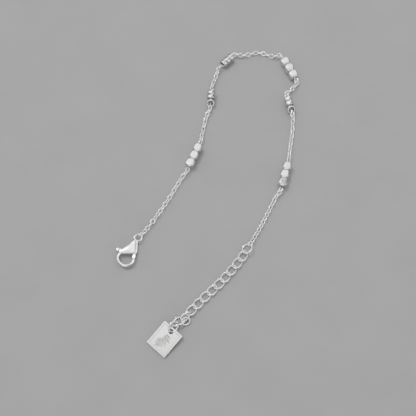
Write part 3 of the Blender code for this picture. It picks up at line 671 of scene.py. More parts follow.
def combined(mesh, operation, *shapes):
    """Mesh that Booleans with closed shapes leave, one after the other."""
    for shape in shapes:
        base = placed("base", mesh)
        tool = placed("tool", mesh_of("tool", shape))
        boolean = base.modifiers.new("combine", "BOOLEAN")
        boolean.operation = operation
        boolean.solver = "EXACT"
        boolean.object = tool
        bpy.context.view_layer.update()
        graph = bpy.context.evaluated_depsgraph_get()
        mesh = bpy.data.meshes.new_from_object(base.evaluated_get(graph))
        for item in (base, tool):
            bpy.data.objects.remove(item, do_unlink=True)
    return mesh


def finished(mesh, sharp_angle):
    """Mesh in metres, with smooth shading up to sharp_angle."""
    mesh.transform(Matrix.Scale(MM, 4))
    mesh.shade_smooth()
    mesh.set_sharp_from_angle(angle=math.radians(sharp_angle))
    return mesh


def piece(name, mesh, material, slot, nodes, location=(0.0, 0.0, 0.0), turn=None, body="bracelet"):
    """One visible piece that stands for CAD nodes and rides on a body."""
    item = placed(name, mesh)
    if not mesh.materials:
        mesh.materials.append(material)
    item.location = Vector(location) * MM
    if turn is not None:
        item.rotation_euler = turn
    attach(item, body)
    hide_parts(*nodes)


def wire_piece(name, node, material, *shapes, **place):
    """One visible piece of wire."""
    piece(name, finished(mesh_of(name, *shapes), WIRE_SHARP), material, "wire", [node], **place)


# Where things lie


class Path:
    """Smooth curve through chosen points, read by its length; it runs on straight past both ends."""

    def __init__(self, points, before, after):
        spaced = [before, *points, after]
        self.samples = []
        for index in range(1, len(spaced) - 2):
            self.samples.extend(self.span(spaced[index - 1:index + 3]))
        self.samples.append(points[-1])
        self.lengths = [0.0]
        for first, second in zip(self.samples, self.samples[1:]):
            self.lengths.append(self.lengths[-1] + (second - first).length)
        self.length = self.lengths[-1]

    @staticmethod
    def span(four):
        """Points of one Catmull-Rom span."""
        a, b, c, d = four
        points = []
        for step in range(PATH_STEPS):
            t = step / PATH_STEPS
            points.append(0.5 * (2.0 * b + (c - a) * t + (2.0 * a - 5.0 * b + 4.0 * c - d) * t * t
                                 + (3.0 * b - a - 3.0 * c + d) * t * t * t))
        return points

    def at(self, distance):
        """Point at a distance from the start, on the floor plan."""
        if distance <= 0.0:
            return self.samples[0] + (self.samples[1] - self.samples[0]).normalized() * distance
        if distance >= self.length:
            end = (self.samples[-1] - self.samples[-2]).normalized()
            return self.samples[-1] + end * (distance - self.length)
        index = 0
        while self.lengths[index + 1] < distance:
            index += 1
        share = (distance - self.lengths[index]) / (self.lengths[index + 1] - self.lengths[index])
        return self.samples[index].lerp(self.samples[index + 1], share)


def route(name):
    """Chosen floor points of one stretch, measured from the origin."""
    return [Vector(point) - Vector(PLAN_MIDDLE) for point in ROUTE[name]]


def smooth_step(share):
    """Even ramp from 0 to 1."""
    share = min(1.0, max(0.0, share))
    return share * share * (3.0 - 2.0 * share)


def lying_height(width, wire, roll):
    """Height of a link's middle when it touches the floor at this roll."""
    turn = math.radians(roll)
    return (width - wire) / 2.0 * abs(math.sin(turn)) + wire / 2.0


def chain_height(roll):
    """Height of a cable chain whose links lie at this roll and square to it."""
    return max(lying_height(CHAIN_LINK_WIDTH, CHAIN_WIRE, roll),
               lying_height(CHAIN_LINK_WIDTH, CHAIN_WIRE, roll + 90.0))


class Anchor:
    """Wire that a chain stretch links round: its place, its half thickness and the free end's way."""

    def __init__(self, point, height, half_wire, behind):
        self.point = point
        self.height = height
        self.room = half_wire + CHAIN_WIRE / 2.0 + LINK_PLAY
        self.behind = behind


def chain_stretch(name, start, end, first_roll, last_roll, material):
    """One stretch of interlocked cable links between two anchors; gives the last link's roll."""
    path = Path([start.point, *route(name), end.point], start.behind, end.behind)
    span = path.length + start.room + end.room
    count = round((span - CHAIN_WIRE + CHAIN_BITE) / CHAIN_PITCH)
    pitch = (span - CHAIN_WIRE + CHAIN_BITE) / count
    half_length = (pitch + CHAIN_WIRE - CHAIN_BITE) / 2.0
    drawn_half_length = (pitch + CHAIN_WIRE + CHAIN_TOUCH) / 2.0
    half_width = (CHAIN_LINK_WIDTH - CHAIN_WIRE) / 2.0

    def roll_at(index):
        share = index / max(1, count - 1)
        roll = -CHAIN_ROLL + 90.0 * (index % 2)
        roll += (first_roll + CHAIN_ROLL) * smooth_step(1.0 - share / ROLL_RAMP)
        if last_roll is not None:
            settled = last_roll + 90.0 * ((count - 1 - index) % 2)
            shift = (settled - roll + 90.0) % 180.0 - 90.0
            roll += shift * smooth_step(1.0 - (1.0 - share) / ROLL_RAMP)
        return roll

    def point_at(distance, rest):
        floor = path.at(distance)
        rise = (start.height - rest) * smooth_step(1.0 - distance / CHAIN_RAMP)
        rise += (end.height - rest) * smooth_step(1.0 - (path.length - distance) / CHAIN_RAMP)
        return Vector((floor.x, floor.y, rest + rise))

    links = []
    for index in range(count):
        middle = half_length - start.room + index * pitch
        roll = roll_at(index)
        near = point_at(middle - half_length, chain_height(roll))
        far = point_at(middle + half_length, chain_height(roll))
        axes = axes_about(far - near, roll)
        points = loop_points((near + far) / 2.0, axes, drawn_half_length, half_width, 0.0, LINK_STEPS)
        seam = 0.5 * math.pi if index % 4 < 2 else 1.5 * math.pi
        links.append(soldered_link(points, axes[2], CHAIN_WIRE, LINK_SIDES, seam))
    wire_piece(f"{name}_links", name, material, *links)
    return roll


# Beads and their pins


def along_x(places):
    """Points on the x axis."""
    return np.outer(places, (1.0, 0.0, 0.0))


def cube_mesh():
    """Cube bead rounded by a ball, with a bore along x and a small rim round it."""
    steps = np.tan(np.linspace(-0.25 * np.pi, 0.25 * np.pi, CUBE_GRID + 1))
    u, v = np.meshgrid(steps, steps, indexing="ij")
    count = u.size
    quads = grid_of(CUBE_GRID + 1, CUBE_GRID + 1)[1]
    verts = []
    faces = []
    for axis in range(3):
        for side in (-1.0, 1.0):
            grid = np.empty((count, 3))
            grid[:, axis] = side
            grid[:, (axis + 1) % 3] = u.ravel() * side
            grid[:, (axis + 2) % 3] = v.ravel()
            way = grid / np.linalg.norm(grid, axis=1, keepdims=True)
            size = np.abs(way)
            inverse = (size / (CUBE_SIZE / 2.0)) ** CUBE_SOFTNESS + CUBE_BALL ** -CUBE_SOFTNESS
            for other in range(3):
                pair = size.sum(axis=1) - size[:, other]
                inverse[:, other] += (pair / (CUBE_SIZE - CUBE_BEVEL)) ** CUBE_SOFTNESS
            reach = inverse.sum(axis=1) ** (-1.0 / CUBE_SOFTNESS)
            faces.extend((quads + len(verts) * count).tolist())
            verts.append(way * reach[:, None])
    mesh = mesh_of("cube_bead", (np.concatenate(verts), faces))
    shape = bmesh.new()
    shape.from_mesh(mesh)
    bmesh.ops.remove_doubles(shape, verts=shape.verts, dist=WELD)
    bmesh.ops.recalc_face_normals(shape, faces=shape.faces)
    shape.to_mesh(mesh)
    shape.free()
    bore = PIN_WIRE / 2.0 + PIN_PLAY
    mouth = bore + BORE_RIM + DRILL_PAST
    half = CUBE_SIZE / 2.0
    points = along_x((-half - DRILL_PAST, BORE_RIM - half, half - BORE_RIM, half + DRILL_PAST))
    radii = (mouth, bore, bore, mouth)
    drill = open_tube(points, UP, radii, radii, BORE_SIDES)
    return finished(combined(mesh, "DIFFERENCE", drill), PLATE_SHARP)


def ring_mesh():
    """Round bead with a rounded wall and a wide hole along x."""
    radius = (RING_OUTER - RING_WALL) / 2.0
    axes = (Vector((0.0, 1.0, 0.0)), UP, Vector((1.0, 0.0, 0.0)))
    points = loop_points(Vector(), axes, radius, radius, 0.0, ROUND_STEPS)
    tube = closed_tube(points, axes[2], RING_WALL / 2.0, RING_WIDTH / 2.0, ROUND_SIDES, RING_SQUARENESS)
    return finished(mesh_of("ring_bead", tube), WIRE_SHARP)


def bead_offsets(bead, tipped):
    """Places of the beads along a pin from its first eye, and the place of its last eye."""
    width = CUBE_SIZE if bead == "cube" else RING_WIDTH
    to_eye = EYE_LENGTH / 2.0 + BEAD_GAP + width / 2.0
    pitch = width + BEAD_GAP
    steps = [to_eye] + [pitch] * (BEADS_IN_GROUP - 1) + [to_eye]
    if tipped == "first":
        steps[0] = LEAN_TO_EYE
        steps[1] = LEAN_PITCH
    if tipped == "last":
        steps[-1] = LEAN_TO_EYE
        steps[-2] = LEAN_PITCH
    places = []
    for step in steps:
        places.append(step + (places[-1] if places else 0.0))
    return places[:-1], places[-1]


class BeadGroup:
    """Three beads on a wire pin with an eye at each end."""

    def __init__(self, name, bead, heading, tipped):
        self.name = name
        self.bead = bead
        self.heading = heading
        self.tipped = tipped
        self.beads, self.span = bead_offsets(bead, tipped)
        turn = math.radians(heading)
        self.along = Vector((math.cos(turn), math.sin(turn)))
        self.start = route(name)[0] - self.along * self.beads[BEADS_IN_GROUP // 2]
        self.height = (CUBE_SIZE if bead == "cube" else RING_OUTER) / 2.0
        self.reach = (EYE_LENGTH - EYE_WIRE) / 2.0

    def anchor(self, end):
        """Wire at the far end of the first or the last eye."""
        side = -1.0 if end == "first" else 1.0
        eye = self.start + self.along * (0.0 if end == "first" else self.span)
        return Anchor(eye + self.along * (side * self.reach), self.height, EYE_WIRE / 2.0, eye)

    def build(self, meshes, materials, rolls, turns):
        """Make the beads and the pin; rolls are those of the two eyes, turns those of the cubes."""
        for index, offset in enumerate(self.beads):
            spot = self.start + self.along * offset
            lean = 0.0
            if (self.tipped, index) in (("first", 0), ("last", BEADS_IN_GROUP - 1)):
                lean = RING_LEAN if self.tipped == "first" else -RING_LEAN
            roll = turns[index] if self.bead == "cube" else 0.0
            piece(f"{self.name}_bead_{index + 1}", meshes[self.bead], materials[self.bead],
                  f"{self.bead}_bead", [f"{self.name}_{self.bead}_{index + 1}"],
                  (spot.x, spot.y, self.height),
                  (math.radians(roll), math.radians(lean), math.radians(self.heading)))
        shapes = []
        for place, roll in ((0.0, rolls[0]), (self.span, rolls[1])):
            axes = axes_about(Vector((1.0, 0.0, 0.0)), roll)
            points = link_points(Vector((place, 0.0, 0.0)), axes, EYE_LENGTH, EYE_WIDTH, EYE_WIRE, 0.0,
                                 LINK_STEPS)
            shapes.append(closed_tube(points, axes[2], EYE_WIRE / 2.0, EYE_WIRE / 2.0, LINK_SIDES))
        points = along_x(np.linspace(self.reach, self.span - self.reach, PIN_STEPS))
        shapes.append(open_tube(points, UP, PIN_WIRE / 2.0, PIN_WIRE / 2.0, LINK_SIDES))
        wire_piece(f"{self.name}_wire", f"{self.name}_pin", materials["wire"], *shapes,
                   location=(self.start.x, self.start.y, self.height),
                   turn=(0.0, 0.0, math.radians(self.heading)))


# Jump rings, extender and tag


def curb_end_slope():
    """Angle at which a curb link's end wire crosses the one it holds."""
    return math.degrees(math.atan2(2.0 * CURB_TWIST, (CURB_WIDTH - CURB_WIRE) / 2.0))


def joint_ring(material):
    """Main jump ring, leaning against the first curb link."""
    centre = route("joint_ring")[0]
    heading = route("extender")[0] - centre
    roll = curb_end_slope()
    height = lying_height(JOINT_RING_OUTER, JOINT_RING_WIRE, roll)
    axes = axes_about(Vector((heading.x, heading.y, 0.0)), roll)
    shape = slit_ring((centre.x, centre.y, height), axes, JOINT_RING_OUTER, JOINT_RING_WIRE,
                      JOINT_RING_SLIT)
    wire_piece("joint_ring_wire", "joint_ring", material, shape)


def joint_ring_anchor():
    """Wire of the main jump ring on the side of the fine chain."""
    centre = route("joint_ring")[0]
    towards = (route("chain_7")[-1] - centre).normalized()
    reach = (JOINT_RING_OUTER - JOINT_RING_WIRE) / 2.0
    height = lying_height(JOINT_RING_OUTER, JOINT_RING_WIRE, curb_end_slope())
    return Anchor(centre + towards * reach, height, JOINT_RING_WIRE / 2.0, centre)


def curb_link(name, centre, axes, length, width, twist, material):
    """One twisted link of the extender."""
    points = link_points(centre, axes, length, width, CURB_WIRE, twist, CURB_STEPS)
    shape = soldered_link(points, axes[2], CURB_WIRE, THICK_WIRE_SIDES, 0.5 * math.pi)
    wire_piece(f"{name}_link", name, material, shape)


def extender_path():
    """Curve that the curb links follow, and how far along it the first one lies."""
    ring = route("joint_ring")[0]
    points = route("extender")
    path = Path([ring, *points], 2.0 * ring - points[0], 2.0 * points[-1] - points[-2])
    first = (JOINT_RING_OUTER - JOINT_RING_WIRE + CURB_LENGTH - CURB_WIRE) / 2.0
    first -= (JOINT_RING_WIRE + CURB_WIRE) / 2.0 + 2.0 * LINK_PLAY
    return path, first


def extender_end():
    """Floor point under the last curb link; the loose links and the tag lie from there."""
    path, first = extender_path()
    return path.at(first + (CURB_COUNT - 1) * CURB_PITCH)


def extender(material):
    """Curb links along the extender, then the loose links near the tag."""
    path, first = extender_path()
    height = CURB_TWIST + CURB_WIRE / 2.0
    half = (CURB_LENGTH - CURB_WIRE) / 2.0
    for index in range(CURB_COUNT):
        middle = first + index * CURB_PITCH
        spot = path.at(middle)
        way = path.at(middle + half) - path.at(middle - half)
        axes = axes_about(Vector((way.x, way.y, 0.0)), 0.0)
        curb_link(f"extender_{index + 1}", Vector((spot.x, spot.y, height)), axes, CURB_LENGTH,
                  CURB_WIDTH, CURB_TWIST, material)
    end = extender_end()
    for name, (x, y, z, heading, pitch, roll, length, width, twist) in LOOSE_LINKS.items():
        axes = rotated_axes(heading, pitch, roll)
        spot = Vector((end.x + x, end.y + y, z))
        if name == "side_ring":
            shape = slit_ring(spot, axes, length, CURB_WIRE, SIDE_RING_SLIT)
            wire_piece("side_ring_wire", name, material, shape)
        else:
            curb_link(name, spot, axes, length, width, twist, material)


def tag_frame():
    """Place of the tag's hole at mid-thickness, and the tag's axes."""
    hole = extender_end() + Vector(TAG_HOLE_PLACE)
    prop = TAG_RING_WIRE + LINK_PLAY
    pitch = -math.degrees(math.atan2(prop, TAG_FAR))
    axes = rotated_axes(TAG_HEADING, pitch, 0.0)
    rise = TAG_FAR * math.sin(math.radians(-pitch))
    height = rise + TAG_THICK / 2.0 * math.cos(math.radians(pitch))
    return Vector((hole.x, hole.y, height)), axes


def sprig_lines():
    """Engraved lines of a plain leafy sprig, as arrays of points on the tag's face."""
    share = np.linspace(0.0, 1.0, SPRIG_STEPS + 1)
    stem = np.column_stack([SPRIG_START[0] + SPRIG_LENGTH * share,
                            SPRIG_START[1] + SPRIG_SWAY * np.sin(SPRIG_BEND * np.pi * share)])
    lines = [stem]
    for index, length in SPRIG_LEAVES:
        run, rise = stem[index + 1] - stem[index - 1]
        way = math.atan2(rise, run)
        for side in (-1.0, 1.0):
            lines.extend(leaf_lines(stem[index], way + side * math.radians(LEAF_ANGLE), length))
    lines.extend(leaf_lines(stem[-1], way, TIP_LEAF))
    return lines


def leaf_lines(root, way, length):
    """Two bowed sides of one leaf and its short middle rib."""
    share = np.linspace(0.0, 1.0, LEAF_STEPS + 1)
    along = (math.cos(way), math.sin(way))
    across = (-math.sin(way), math.cos(way))
    return [root + np.outer(length * end * share, along)
            + np.outer(bow * length * np.sin(np.pi * share), across)
            for bow, end in ((-LEAF_BOW, 1.0), (LEAF_BOW, 1.0), (0.0, LEAF_RIB))]


def groove_share(x, y):
    """How deep the engraving is at each place of the tag's face, from 0 to 1."""
    edge = np.minimum(np.minimum(x - TAG_NEAR, TAG_FAR - x), TAG_SIDE - np.abs(y))
    border = 1.0 - np.abs(edge - BORDER_INSET) / (BORDER_WIDTH / 2.0)
    share = np.where(np.hypot(x, y) > TAG_HOLE / 2.0 + BORDER_TO_HOLE, border, 0.0)
    for line in sprig_lines():
        for (ax, ay), (bx, by) in zip(line, line[1:]):
            dx, dy = bx - ax, by - ay
            place = np.clip(((x - ax) * dx + (y - ay) * dy) / (dx * dx + dy * dy), 0.0, 1.0)
            gap = np.hypot(x - ax - place * dx, y - ay - place * dy)
            share = np.maximum(share, 1.0 - gap / (GROOVE_WIDTH / 2.0))
    return np.clip(share, 0.0, 1.0)


def tag_shape():
    """Closed tag without its hole: an engraved grid on top, and rounded edges round it."""
    columns = int(TAG_LENGTH / TAG_CELL)
    rows = int(TAG_WIDTH / TAG_CELL)
    x = np.linspace(TAG_NEAR + TAG_BEVEL, TAG_FAR - TAG_BEVEL, columns)
    y = np.linspace(TAG_BEVEL - TAG_SIDE, TAG_SIDE - TAG_BEVEL, rows)
    gx, gy = np.meshgrid(x, y, indexing="ij")
    height = TAG_THICK / 2.0 - GROOVE_DEPTH * groove_share(gx, gy)
    top = np.stack([gx, gy, height], axis=-1).reshape(-1, 3)
    index, quads = grid_of(columns, rows)
    border = [*index[:-1, 0], *index[-1, :-1], *index[:0:-1, -1], *index[0, :0:-1]]
    rim = top[border][:, :2]
    outward = np.zeros_like(rim)
    for axis, line in enumerate((x, y)):
        outward[rim[:, axis] == line[0], axis] = -1.0
        outward[rim[:, axis] == line[-1], axis] = 1.0
    edge = []
    for angle in np.linspace(0.0, 0.5 * np.pi, TAG_EDGE_STEPS + 1)[1:]:
        edge.append((math.sin(angle), TAG_THICK / 2.0 - TAG_BEVEL * (1.0 - math.cos(angle))))
    edge += [(grow, -level) for grow, level in reversed(edge)] + [(0.0, -TAG_THICK / 2.0)]
    rings = [at_height(rim + outward * TAG_BEVEL * grow, level) for grow, level in edge]
    below = len(top) + np.arange(len(rings) * len(rim)).reshape(-1, len(rim))
    loops = np.vstack([border, below])
    walls = np.stack([loops[:-1], loops[1:], np.roll(loops[1:], -1, axis=1),
                      np.roll(loops[:-1], -1, axis=1)], axis=-1)
    faces = [*quads.tolist(), *walls.reshape(-1, 4).tolist(), loops[-1, ::-1].tolist()]
    return np.concatenate([top, *rings]), faces


def tag(material):
    """Flat rectangular tag with its engraved top, one end propped on the jump ring's wire."""
    hole, axes = tag_frame()
    drill = prism(circle_outline(0.0, 0.0, TAG_HOLE / 2.0), -TAG_THICK, TAG_THICK)
    mesh = combined(mesh_of("tag_plate", tag_shape()), "DIFFERENCE", drill)
    places = np.empty(len(mesh.vertices) * 3)
    mesh.vertices.foreach_get("co", places)
    x, y, z = places.reshape(-1, 3).T
    depth = np.clip((TAG_THICK / 2.0 - z) / GROOVE_DEPTH, 0.0, 1.0)
    inside = (z > 0.0) & (np.abs(y) < TAG_SIDE - ENGRAVING_INSET)
    inside &= (x > TAG_NEAR + ENGRAVING_INSET) & (x < TAG_FAR - ENGRAVING_INSET)
    groove = mesh.attributes.new("groove", "FLOAT", "POINT")
    groove.data.foreach_set("value", np.where(inside, depth, 0.0).astype(np.float32))
    piece("tag_plate", finished(mesh, PLATE_SHARP), material, "tag", ["tag"], hole,
          Matrix(axes).transposed().to_euler())


def tag_ring(material):
    """Jump ring through the tag's hole and the last extender link."""
    hole, axes = tag_frame()
    radius = (TAG_RING_OUTER - TAG_RING_WIRE) / 2.0
    level = rotated_axes(TAG_HEADING, 0.0, TAG_RING_ROLL)
    height = radius * abs(level[1].z) + TAG_RING_WIRE / 2.0
    sine = (hole.z - height) / (radius * level[1].z)
    cosine = math.sqrt(1.0 - sine * sine)
    wire = level[0] * (radius * cosine) + level[1] * (radius * sine)
    centre = Vector((hole.x - wire.x, hole.y - wire.y, height))
    shape = slit_ring(centre, level, TAG_RING_OUTER, TAG_RING_WIRE, TAG_RING_SLIT)
    wire_piece("tag_ring_wire", "tag_ring", material, shape)


# Clasp


def polar(angle, reach):
    """Offset at an angle in degrees."""
    return Vector((reach * math.cos(math.radians(angle)), reach * math.sin(math.radians(angle))))


def sweep_outline(centre, angle, half_width, reach):
    """Outline that an arm sweeps while the lever opens from angle."""
    opened = angle - LEVER_OPENING
    middle = (angle + opened) / 2.0
    side = centre + polar(angle + 90.0, half_width)
    other = centre + polar(opened - 90.0, half_width)
    outline = [other, other + polar(opened, reach), centre + polar(middle, reach * SWEEP_BULGE),
               side + polar(angle, reach), side]
    return [tuple(point) for point in outline]


def arm_outline(centre, angle, width, reach):
    """Outline of a straight arm."""
    way = polar(angle, 1.0)
    across = Vector((-way.y, way.x))
    half = width / 2.0
    ends = ((0.0, -half), (reach, -half), (reach, half), (0.0, half))
    return [tuple(centre + way * along + across * side) for along, side in ends]


def gate_outline(centre):
    """Outline of the thick gate: its root clears the body at rest and open, its tip is an arc."""
    edge = Vector(CLASP_LUG[:2]) - Vector(CLASP_KNUCKLE[:2])
    facing = math.degrees(math.atan2(edge.y, edge.x)) + 90.0
    clear = CLASP_KNUCKLE[2] + LEVER_PLAY
    way = polar(GATE_ANGLE, 1.0)
    across = Vector((-way.y, way.x))
    rest = math.radians(facing - GATE_ANGLE)
    opened = math.radians(facing + LEVER_OPENING - GATE_ANGLE)
    shares = np.linspace(-1.0, 1.0, GATE_STEPS)
    outline = []
    for share in shares:
        lateral = share * GATE_ROOT_WIDTH / 2.0
        along = max((clear - lateral * math.sin(turn)) / math.cos(turn) for turn in (rest, opened))
        outline.append(centre + way * along + across * lateral)
    outline.reverse()
    for share in shares:
        lateral = share * GATE_TIP_WIDTH / 2.0
        along = math.sqrt(GATE_REACH ** 2 - lateral ** 2)
        outline.append(centre + way * along + across * lateral)
    return [tuple(point) for point in outline]


def clasp_eye_anchor():
    """Wall of the clasp's eye on the side of the chain."""
    centre = route("clasp")[0]
    towards = (route("chain_1")[0] - centre).normalized()
    reach = (CLASP_EYE_OUTER - CLASP_EYE_WALL) / 2.0
    return Anchor(centre + towards * reach, CLASP_MIDDLE, CLASP_EYE_WALL / 2.0, centre)


def clasp_side():
    """Middles of the body's neck and knuckle, and the way from one to the other."""
    start = Vector(CLASP_NECK[:2])
    end = Vector(CLASP_KNUCKLE[:2])
    return start, end, (end - start).normalized()


def side_slot_outline():
    """Groove between the two plates, along the body's side from the neck to the knuckle."""
    start, end, way = clasp_side()
    out = Vector((-way.y, way.x))
    near = start + way * SIDE_SLOT_START
    corners = (near + out * (CLASP_NECK[2] - SIDE_SLOT_DEPTH),
               end + out * (CLASP_KNUCKLE[2] - SIDE_SLOT_DEPTH),
               end + out * (CLASP_KNUCKLE[2] + SIDE_SLOT_PAST),
               near + out * (CLASP_NECK[2] + SIDE_SLOT_PAST))
    return [tuple(corner) for corner in corners]


def upper_plate_discs():
    """Discs of the upper plate, which stands back from the lower one on the knuckle's side."""
    start, end, way = clasp_side()
    back = Vector((way.y, -way.x)) * PLATE_STEP
    return ((*(start + back / 2.0), CLASP_NECK[2] - PLATE_STEP / 2.0),
            (*(end + back), CLASP_KNUCKLE[2]), CLASP_LUG)


def clasp_body(material):
    """Body of the lobster clasp: two plates, eye, hook, slots for the lever, and its pin."""
    height = CLASP_MIDDLE + PLATE_LAP
    lower = pillow(hull_outline((CLASP_NECK, CLASP_KNUCKLE, CLASP_LUG)), height, height, -1.0)
    upper = pillow(hull_outline(upper_plate_discs()), CLASP_MIDDLE - PLATE_LAP, height, 1.0)
    eye_points = link_points(Vector((0.0, 0.0, CLASP_MIDDLE)), FLAT, CLASP_EYE_OUTER, CLASP_EYE_OUTER,
                             CLASP_EYE_WALL, 0.0, ROUND_STEPS)
    eye = closed_tube(eye_points, UP, CLASP_EYE_WALL / 2.0, CLASP_EYE_HEIGHT / 2.0, CLASP_EYE_SIDES)
    angle = np.radians(np.linspace(HOOK_ROOT_ANGLE, HOOK_TIP_ANGLE, HOOK_STEPS + 1))
    radius = (HOOK_OUTER - HOOK_WIRE) / 2.0
    hook_plan = np.column_stack([HOOK_CENTRE + radius * np.cos(angle), radius * np.sin(angle)])
    swell = 1.0 + HOOK_SWELL * np.sqrt(np.sin(np.linspace(0.0, np.pi, len(angle))))
    hook = open_tube(at_height(hook_plan, CLASP_MIDDLE), UP, HOOK_WIRE / 2.0 * swell,
                     HOOK_HEIGHT / 2.0, HOOK_SIDES)
    body = combined(mesh_of("clasp_body", lower), "UNION", upper, eye, hook)

    pivot = Vector(CLASP_KNUCKLE[:2])
    slot = LEVER_THICK / 2.0 + LEVER_PLAY
    half_arm = LEVER_ARM / 2.0 + LINK_PLAY
    outlines = (sweep_outline(pivot, TAB_ANGLE, half_arm, TAB_REACH),
                sweep_outline(pivot, GATE_ANGLE, half_arm, GATE_REACH),
                circle_outline(pivot.x, pivot.y, LEVER_KNUCKLE / 2.0 + LINK_PLAY),
                side_slot_outline())
    slots = [prism(outline, CLASP_MIDDLE - slot, CLASP_MIDDLE + slot) for outline in outlines]
    body = combined(body, "DIFFERENCE", *slots)
    pin = prism(circle_outline(pivot.x, pivot.y, PIVOT_PIN / 2.0, BORE_SIDES),
                CLASP_MIDDLE - 2.0 * slot, CLASP_MIDDLE + 2.0 * slot)
    body = combined(body, "UNION", pin)
    centre = route("clasp")[0]
    piece("clasp_shell", finished(body, PLATE_SHARP), material, "clasp", ["clasp_body"],
          (centre.x, centre.y, 0.0), (0.0, 0.0, math.radians(CLASP_HEADING)))


def clasp_lever(material):
    """Lever that opens the clasp: arms, thumb tab and gate round the pivot's bore."""
    half = LEVER_THICK / 2.0
    origin = Vector((0.0, 0.0))
    tab = polar(TAB_ANGLE, TAB_REACH)
    lever = mesh_of("clasp_lever", prism(circle_outline(0.0, 0.0, LEVER_KNUCKLE / 2.0), -half, half))
    arms = [prism(arm_outline(origin, angle, LEVER_ARM, reach), -half, half)
            for angle, reach in ((TAB_ANGLE, TAB_REACH), (GATE_ANGLE, GATE_REACH - LEVER_ARM))]
    knob = slab(circle_outline(tab.x, tab.y, TAB_SIZE / 2.0), -TAB_HEIGHT / 2.0, TAB_HEIGHT / 2.0,
                TAB_BEVEL, TAB_BEVEL_STEPS)
    gate = slab(gate_outline(origin), -GATE_HEIGHT / 2.0, GATE_HEIGHT / 2.0, GATE_BEVEL,
                GATE_BEVEL_STEPS)
    lever = combined(lever, "UNION", *arms, knob, gate)
    bore = circle_outline(0.0, 0.0, PIVOT_PIN / 2.0 + PIVOT_PLAY, BORE_SIDES)
    lever = combined(lever, "DIFFERENCE", prism(bore, -CLASP_HEIGHT, CLASP_HEIGHT))
    turn = math.radians(CLASP_HEADING)
    place = Matrix.Rotation(turn, 2) @ Vector(CLASP_KNUCKLE[:2]) + route("clasp")[0]
    piece("clasp_thumb_lever", finished(lever, PLATE_SHARP), material, "clasp", ["clasp_lever"],
          (place.x, place.y, CLASP_MIDDLE), (0.0, 0.0, turn), "lever")


def bracelet():
    """Build every piece from the clasp to the tag."""
    materials = {"wire": polished_steel(*WIRE_FINISH), "ring": polished_steel(*SHADED_RING_FINISH),
                 "cube": satin_steel(*CUBE_FINISH, CUBE_BRUSH)}
    meshes = {"cube": cube_mesh(), "ring": ring_mesh()}
    clasp_steel = polished_steel(*CLASP_FINISH)
    clasp_body(clasp_steel)
    clasp_lever(clasp_steel)
    groups = [BeadGroup(*row) for row in BEAD_GROUPS]
    start = clasp_eye_anchor()
    first_roll = CLASP_LINK_ROLL
    roll_in = []
    for index, group in enumerate(groups):
        last = chain_stretch(f"chain_{index + 1}", start, group.anchor("first"), first_roll, None,
                             materials["wire"])
        roll_in.append(last + 90.0)
        start = group.anchor("last")
        first_roll = -CHAIN_ROLL
    chain_stretch(f"chain_{len(groups) + 1}", start, joint_ring_anchor(), first_roll,
                  -CHAIN_ROLL, materials["wire"])
    turns = list(CUBE_TURNS)
    for group, roll in zip(groups, roll_in):
        own_turns = [turns.pop(0) for _ in range(BEADS_IN_GROUP)] if group.bead == "cube" else None
        group.build(meshes, materials, (roll, CHAIN_ROLL), own_turns)
    joint_ring(materials["wire"])
    extender(materials["wire"])
    tag(satin_steel(*TAG_FINISH, TAG_BRUSH, engraved=True))
    tag_ring(materials["wire"])


# Floor, light and camera


def floor():
    """Plain pale floor, a hair under the bracelet."""
    corners = [(x * FLOOR_HALF, y * FLOOR_HALF, 0.0) for x, y in ((-1, -1), (1, -1), (1, 1), (-1, 1))]
    mesh = bpy.data.meshes.new("floor")
    mesh.from_pydata(corners, [], [(0, 1, 2, 3)])
    graph = Graph(bpy.data.materials.new("pale_floor"), "Principled BSDF")
    graph.shader.inputs["Roughness"].default_value = FLOOR_ROUGHNESS
    tone = graph.spread(graph.noise(FLOOR_CLOUDS, detail=4.0), 0.0, 1.0)
    graph.surface(Base_Color=graph.blend(tone, *FLOOR_TONES))
    mesh.materials.append(graph.owner)
    item = placed("floor", mesh)
    item.location = (0.0, 0.0, -FLOOR_DROP)


def lamp(name, kind, power, way):
    """Lamp of one kind that shines along way."""
    item = placed(name, bpy.data.lights.new(name, kind))
    item.data.energy = power
    item.rotation_euler = Vector(way).to_track_quat("-Z", "Y").to_euler()
    return item


def lamps():
    """Soft box overhead and a soft key."""
    way = Vector(OVERHEAD_TARGET) - Vector(OVERHEAD_PLACE)
    overhead = lamp("overhead", "AREA", OVERHEAD_POWER, way)
    overhead.location = OVERHEAD_PLACE
    overhead.data.size = OVERHEAD_SIZE
    overhead.data.color = OVERHEAD_COLOUR
    key = lamp("key", "SUN", KEY_POWER, KEY_WAY)
    key.data.angle = math.radians(KEY_WIDTH)


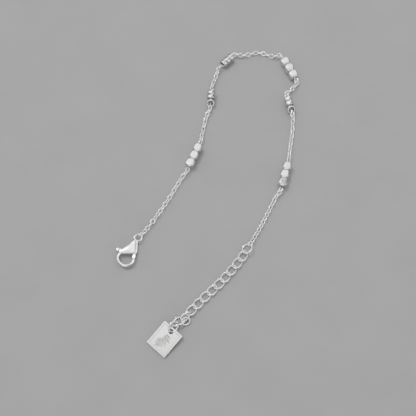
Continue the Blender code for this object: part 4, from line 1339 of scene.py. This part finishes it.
def surround():
    """World that lights the metal with panels all round, and shows the camera a plain backdrop."""
    world = bpy.data.worlds.new("studio")
    graph = Graph(world, "Background", "Generated")
    split = graph.node("ShaderNodeSeparateXYZ")
    graph.link(graph.place, split.inputs["Vector"])
    ramp = graph.node("ShaderNodeValToRGB")
    stops = ramp.color_ramp.elements
    stops.remove(stops[0])
    for index, (height, glow) in enumerate(RING_OF_LIGHT):
        stop = stops[0] if index == 0 else stops.new(height)
        stop.position = height
        stop.color = (glow, glow, glow * RING_BLUE, 1.0)
    graph.link(split.outputs["Z"], ramp.inputs["Fac"])
    around = graph.math("ARCTAN2", split.outputs["Y"], split.outputs["X"])
    turned = graph.math("MULTIPLY_ADD", around, PANELS, -PANELS * math.radians(PANEL_TURN))
    panels = graph.spread(graph.math("COSINE", turned), PANEL_GAP, 1.0, -1.0, 1.0)
    graph.surface(Color=ramp.outputs["Color"], Strength=panels)
    backdrop = graph.node("ShaderNodeBackground")
    backdrop.inputs["Color"].default_value = (*BACKDROP, 1.0)
    either = graph.node("ShaderNodeMixShader")
    graph.link(graph.node("ShaderNodeLightPath").outputs["Is Camera Ray"], either.inputs["Fac"])
    graph.link(graph.shader.outputs["Background"], either.inputs[1])
    graph.link(backdrop.outputs["Background"], either.inputs[2])
    graph.link(either.outputs["Shader"], graph.tree.nodes["World Output"].inputs["Surface"])
    bpy.context.scene.world = world


def camera():
    """The photograph's view, from the tag's end and near to straight down."""
    item = placed("camera", bpy.data.cameras.new("camera"))
    item.data.lens = CAMERA_LENS
    item.data.clip_start, item.data.clip_end = CAMERA_CLIP
    item.location = CAMERA_PLACE
    item.rotation_euler = (math.radians(CAMERA_TILT), 0.0, 0.0)
    bpy.context.scene.camera = item


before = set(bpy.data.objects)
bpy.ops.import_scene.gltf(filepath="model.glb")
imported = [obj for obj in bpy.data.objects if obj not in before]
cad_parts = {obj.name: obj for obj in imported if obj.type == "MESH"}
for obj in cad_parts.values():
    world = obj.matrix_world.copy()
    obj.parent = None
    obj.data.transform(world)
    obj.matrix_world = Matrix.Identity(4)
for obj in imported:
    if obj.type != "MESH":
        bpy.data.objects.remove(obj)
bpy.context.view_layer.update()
camera()
bracelet()
floor()
lamps()
surround()
